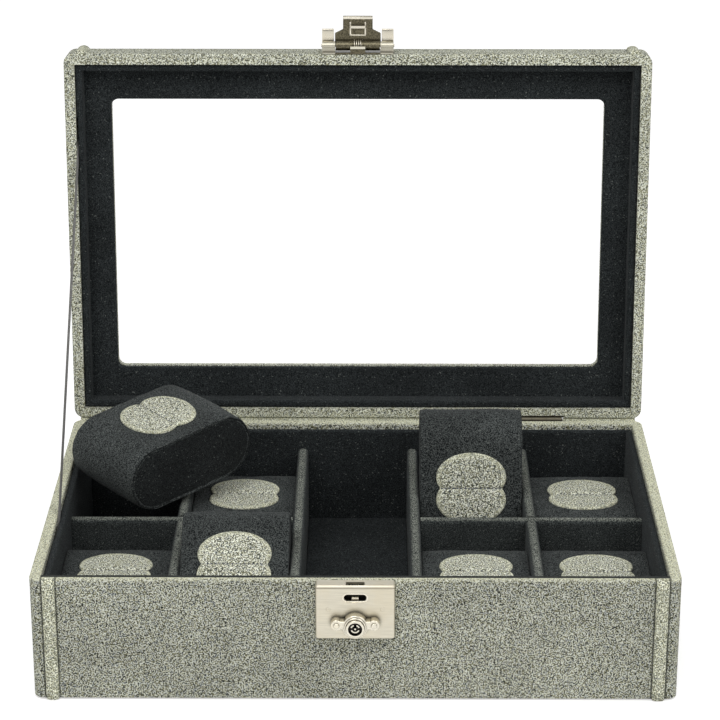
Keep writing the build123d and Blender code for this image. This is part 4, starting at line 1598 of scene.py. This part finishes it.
@dataclass
class PressLock(Assembly):
    """The press lock: its cover, boss, key plug, rivets and the small marks on it.

    Attributes:
        key: The key plug's centre, across and up.
        eye: The window slot's centre, across and up.
        eye_size: The slot's width and height.
        pip_x: How far each faint pip stands from the middle.
        pip_z: The pips' height.
        boss: How far the boss stands out of the cover.
        plug: How far the plug's mouth stands out of it.
        wards: Start and end in degrees, and inner and outer radius, of each ward.
    """

    key: tuple[float, float] = (0.0, 43.0)
    eye: tuple[float, float] = (0.0, 55.8)
    eye_size: tuple[float, float] = (10.4, 3.3)
    pip_x: float = 12.4
    pip_z: float = 50.0
    boss: float = 4.6
    plug: float = 6.6
    wards: tuple[tuple[float, ...], ...] = (
        (200, 340, 1.45, 2.05), (20, 70, 1.6, 2.2), (110, 160, 1.6, 2.2))

    def eye_lip(self) -> Piece:
        """The pressed lip round the window slot.

        Returns:
            The lip.
        """
        r = self.eye_size[1] / 2
        shape = [(-0.02, 0.7), (-0.02, 0.05), (0.06, -0.08), (0.22, -0.12), (0.46, -0.10),
                 (0.72, -0.03), (0.85, 0.05), (0.85, 0.3)]
        surface = Surface()
        surface.turn([(r + out, LOCK_Y + d) for out, d in shape + shape[:1]], self.eye,
                     flat=self.eye_size[0] / 2 - r)
        return outward(surface.made("lock_eye_lip", self.kit.finish["polished"]))

    def pips(self) -> Piece:
        """Two faint pressed pips beside the boss.

        Returns:
            The pips.
        """
        shape = [(0.0, -0.02), (0.35, -0.04), (0.6, -0.10), (0.85, -0.10), (1.05, 0.05),
                 (0.0, 0.3)]
        surface = Surface()
        for side in (-1, 1):
            surface.turn([(r, LOCK_Y + d) for r, d in shape],
                         (side * self.pip_x, self.pip_z), 24)
        return outward(surface.made("lock_pips", self.kit.finish["satin"]))

    def collar(self) -> Piece:
        """A turned bead round the collar, where it meets the boss.

        Returns:
            The bead.
        """
        shape = [(4.2, 0.3), (4.95, 0.1), (5.05, -0.25), (4.9, -0.55), (4.55, -0.7),
                 (4.2, -0.72)]
        surface = Surface()
        surface.turn([(r, LOCK_Y - self.boss + d) for r, d in shape + shape[:1]], self.key)
        return outward(surface.made("lock_collar_bead", self.kit.finish["polished"]))

    def ward(self, bm: bmesh.types.BMesh, start: float, end: float, inner: float,
             outer: float) -> None:
        """Add one curved ward to a mesh in metres.

        Args:
            bm: The mesh.
            start: Where it starts, in degrees.
            end: Where it ends.
            inner: Its inner radius.
            outer: Its outer radius.
        """
        front, back = LOCK_Y - self.plug + 0.55, LOCK_Y - self.plug + 1.35
        steps = 16
        rings = []
        for k in range(steps + 1):
            a = math.radians(start + (end - start) * k / steps)
            rings.append([
                bm.verts.new(((self.key[0] + r * math.cos(a)) * MM, y * MM,
                              (self.key[1] + r * math.sin(a)) * MM))
                for r, y in ((inner, back), (inner, front), (outer, front), (outer, back))])
        for here, there in zip(rings, rings[1:]):
            for j in range(4):
                n = (j + 1) % 4
                bm.faces.new((here[j], here[n], there[n], there[j]))
        bm.faces.new(rings[0])
        bm.faces.new(rings[-1][::-1])

    def plug_wards(self) -> Piece:
        """The raised centre pin and the curved wards in the key plug's mouth.

        Returns:
            The wards, as one piece.
        """
        front = LOCK_Y - self.plug + 0.35
        surface = Surface()
        surface.turn([(0.0, front), (0.38, front), (0.5, front + 0.15), (0.5, front + 1.0)],
                     self.key, 24)

        def work(bm: bmesh.types.BMesh) -> None:
            """Add the wards."""
            for row in self.wards:
                self.ward(bm, *row)

        pin = surface.made("key_wards", self.kit.finish["polished"])
        return outward(reworked(pin, work))

    def make(self) -> None:
        """Dress the lock's nodes and add its small pieces."""
        self.dress("satin", "lock_plate")
        # The lock case and the key plug darkened as painted shade
        self.dress("lock_shade_metal", "lock_case", "key_plug")
        self.dress("polished", "lock_boss", "lock_rivets", "lock_bolt")
        place(self.eye_lip(), "base", Slot.POLISHED)
        place(self.pips(), "base", Slot.SATIN)
        place(self.collar(), "base", Slot.POLISHED)
        place(self.plug_wards(), "key_plug", Slot.POLISHED)
        log.info("press lock")


@dataclass
class HingeStrip(Assembly):
    """The leather strip that closes the gap behind the hinge line.

    Attributes:
        spans: Where it runs between the hinge leaves, across the box.
        inner: How far back it starts.
        outer: How far back it stands.
        top: Its height.
        depth: How far it reaches down.
    """

    spans: tuple[tuple[float, float], ...] = ((-147.0, -108.5), (-67.4, 67.4), (108.5, 147.0))
    inner: float = 96.6
    outer: float = 99.4
    top: float = 61.85
    depth: float = 5.0

    def make(self) -> None:
        """Build the strip in its three lengths."""
        surface = Surface()
        for low, high in self.spans:
            surface.block((low, self.inner, self.top - self.depth),
                          (high, self.outer, self.top), 0.55)
            surface.block((low + 0.1, self.inner + 1.4, self.top - self.depth + 1.0),
                          (high - 0.1, self.outer + 0.2, self.top + 0.3), 0.1)
        obj = surface.made("hinge_strip", self.kit.finish["cover_base"])
        place(outward(obj), "base", Slot.COVER)
        log.info("hinge strip")


@dataclass
class Hasp(Assembly):
    """The latch plate, hasp and hinges, with tabs, rails and a spring, drawn lid shut.

    Attributes:
        pin: The hasp pin's place, depth and height.
        tab: Where the tabs stand across the box.
        reach: How far forward the tabs reach.
        rail: How far the rails stand from the middle, inner and outer side.
        under: The height of the rails' underside.
        spring_r: The spring's radius.
        wire: The spring wire's radius.
        turns: How many turns the spring has.
    """

    pin: tuple[float, float] = (-100.9, 66.0)
    tab: tuple[float, float] = (12.2, 18.2)
    reach: float = -109.3
    rail: tuple[float, float] = (3.4, 4.2)
    under: float = 68.26
    spring_r: float = 2.8
    wire: float = 0.24
    turns: float = 4.5

    def tabs(self) -> Piece:
        """The two tabs over the ears.

        Returns:
            The tabs.
        """
        surface = Surface()
        for side in (-1, 1):
            low, high = sorted((side * self.tab[0], side * self.tab[1]))
            surface.block((low, self.reach, 67.4), (high, self.pin[0] - 0.4, 68.2), 0.2)
            surface.block((low, self.reach, 66.5), (high, self.reach + 0.7, 68.2), 0.2)
        return outward(surface.made("hasp_tabs", self.kit.finish["polished"]))

    def spring(self) -> Piece:
        """The coil round the middle of the hasp's barrel.

        Returns:
            The coil.
        """
        steps, sides, half_w = 30, 8, 2.4
        count = int(self.turns * steps)
        surface = Surface()
        for i in range(count + 1):
            a = 2 * math.pi * i / steps
            out = Vector((0.0, math.cos(a), math.sin(a)))
            middle = Vector((2 * half_w * i / count - half_w, *self.pin)) + out * self.spring_r
            for k in range(sides):
                b = 2 * math.pi * k / sides
                spoke = out * math.cos(b) + Vector((math.sin(b), 0, 0))
                surface.verts.append(middle + spoke * self.wire)
        surface.bridge(count + 1, sides)
        surface.faces += [tuple(range(sides))[::-1],
                          tuple(range(count * sides, (count + 1) * sides))]
        return outward(surface.made("hasp_spring", self.kit.finish["polished"]))

    def edge(self) -> Piece:
        """The bright bent end of the hasp, and the rails beside its staple.

        Returns:
            The edge pieces.
        """
        surface = Surface()
        surface.block((-7.5, -115.3, 68.14), (7.5, -113.9, 69.2), 0.25)
        inner, outer = self.rail
        for low, high in ((-outer, -inner), (inner, outer)):
            surface.block((low, -112.6, self.under), (high, -105.6, 68.6), 0.15)
        surface.block((-outer, -106.2, self.under), (outer, -105.5, 68.6), 0.15)
        return outward(surface.made("hasp_edges", self.kit.finish["polished"]))

    def make(self) -> None:
        """Dress the metal nodes of the lid and the back, and add the trim."""
        self.dress("shaded", "latch_plate", "hasp_flap")
        # The hinges in darkened nickel, painted shade
        self.dress("hinge_shade", "hinge_base_leaves", "hinge_lid_leaves", "hinge_pins")
        self.dress("polished", "latch_rivets", "hasp_staple", "hasp_pin",
                   "hinge_base_screws", "hinge_lid_screws")
        place(open_lid(self.tabs()), "lid", Slot.POLISHED)
        place(open_lid(self.spring()), "lid", Slot.POLISHED)
        place(open_lid(self.edge()), "hasp", Slot.POLISHED)
        log.info("hasp and hinges")


@dataclass
class Studio:
    """The camera, the lights, the floor and the backdrop, with places in metres.

    Attributes:
        eye: The camera's place.
        pitch: How far the camera looks down, in radians.
        yaw: Its turn about the vertical.
        lens: The focal length in millimetres.
        lamps: Name, place, size and power of each lamp.
        fill: The world's light.
        floor_y: Where the floor starts and where it bends up.
        bend: The radius of that bend.
        half_w: Half the floor's width.
        top: The backdrop's height.
    """

    eye: tuple[float, float, float] = (0.00739, -1.1402, 0.5673)
    pitch: float = 0.36408
    yaw: float = 0.005
    lens: float = 126.146
    lamps: tuple[tuple[str, tuple[float, float, float], float, float], ...] = (
        ("key_lamp", (-0.35, -0.9, 1.5), 1.1, 10.5), ("fill_lamp", (0.9, -0.6, 1.0), 0.9, 4.2))
    fill: float = 0.56
    floor_y: tuple[float, float] = (-2.4, 1.2)
    bend: float = 0.6
    half_w: float = 3.2
    top: float = 2.6

    def camera(self) -> None:
        """Place the camera at the photograph's view."""
        data = bpy.data.cameras.new("camera")
        data.lens, data.sensor_width, data.clip_start = self.lens, 36.0, 0.01
        obj = linked("camera", data)
        obj.location = self.eye
        obj.rotation_euler = (math.pi / 2 - self.pitch, 0.0, self.yaw)
        bpy.context.scene.camera = obj

    def lights(self) -> None:
        """Hang two soft lamps and set the world, white where it is seen."""
        for name, spot, size, power in self.lamps:
            data = bpy.data.lights.new(name, "AREA")
            data.shape, data.size, data.energy = "DISK", size, power
            obj = linked(name, data)
            obj.location = spot
            aim = Vector((0.0, 0.0, 0.05)) - Vector(spot)
            obj.rotation_euler = aim.to_track_quat("-Z", "Y").to_euler()
        world = bpy.data.worlds.new("studio")
        bpy.context.scene.world = world
        world.use_nodes = True
        g = Graph(world.node_tree)
        light = {"Color": (1.0, 1.0, 1.0),
                 "Strength": g.span(g.seen(), 0.0, 1.0, self.fill, 1.0)}
        back = g.add("ShaderNodeBackground", light)
        g.add("ShaderNodeOutputWorld", {"Surface": back.outputs[0]})

    def floor(self) -> None:
        """Lay a pale floor that runs up into a backdrop, white where it is seen."""
        near, far = self.floor_y
        line = [(near, 0.0), (far, 0.0)]
        for k in range(1, 13):
            a = math.radians(90 * k / 12)
            line.append((far + self.bend * math.sin(a), self.bend * (1 - math.cos(a))))
        line.append((far + self.bend, self.top))
        surface = Surface()
        for y, z in line:
            surface.verts += [(-self.half_w, y, z), (self.half_w, y, z)]
        surface.faces = [(k, k + 1, k + 3, k + 2) for k in range(0, 2 * len(line) - 2, 2)]
        s = Shade("pale_floor")
        tone = s.span(s.noise(3.0), 0.3, 0.7, 0.80, 0.82)
        grey = s.add("ShaderNodeCombineColor", {k: tone for k in range(3)})
        s.set(Base_Color=grey.outputs[0], Roughness=0.9, Specular_IOR_Level=0.1,
              Emission_Color=(1.0, 1.0, 1.0), Emission_Strength=s.times(s.seen(), 0.5))
        obj = surface.made("studio_floor", s.material, 1.0)

    def make(self) -> None:
        """Build the studio."""
        self.camera()
        self.lights()
        self.floor()
        bpy.context.scene.view_settings.view_transform = "Standard"
        log.info("studio")


def keep_sizes() -> None:
    """Define a helper that turns a box into plain lists, and write nothing.
    """
    def plain(box: object) -> list[list[float]]:
        """The box as plain lists."""
        return [[float(v) for v in corner] for corner in box]


def main() -> None:
    """Build the whole scene in order."""
    logging.basicConfig(level=logging.INFO, format="%(name)s: %(message)s")
    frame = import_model()
    Studio().make()
    made = {key: finish.build() for key, finish in FINISHES.items()}
    kit = Kit(frame["nodes"], made, nap_tree(made["nap"]), nap_tree(made["lining_nap"]),
              stitch_tree(made["thread"]))
    Cover(kit).make()
    Lining(kit).make()
    PressLock(kit).make()
    Hasp(kit).make()
    HingeStrip(kit).make()
    Piping(kit, "base", Ridge(0.6, 60.8, 16, 1.2, 60.8, 0.75, 62.0, 0.14)).make()
    Piping(kit, "lid", Ridge(63.5, 78.1, 8, 1.5, 79.0, 0.9, 80.9, 0.30)).make()
    StayRibbon(kit).make()
    CushionSet(kit).make()
    keep_sizes()


if __name__ == "__main__":
    main()
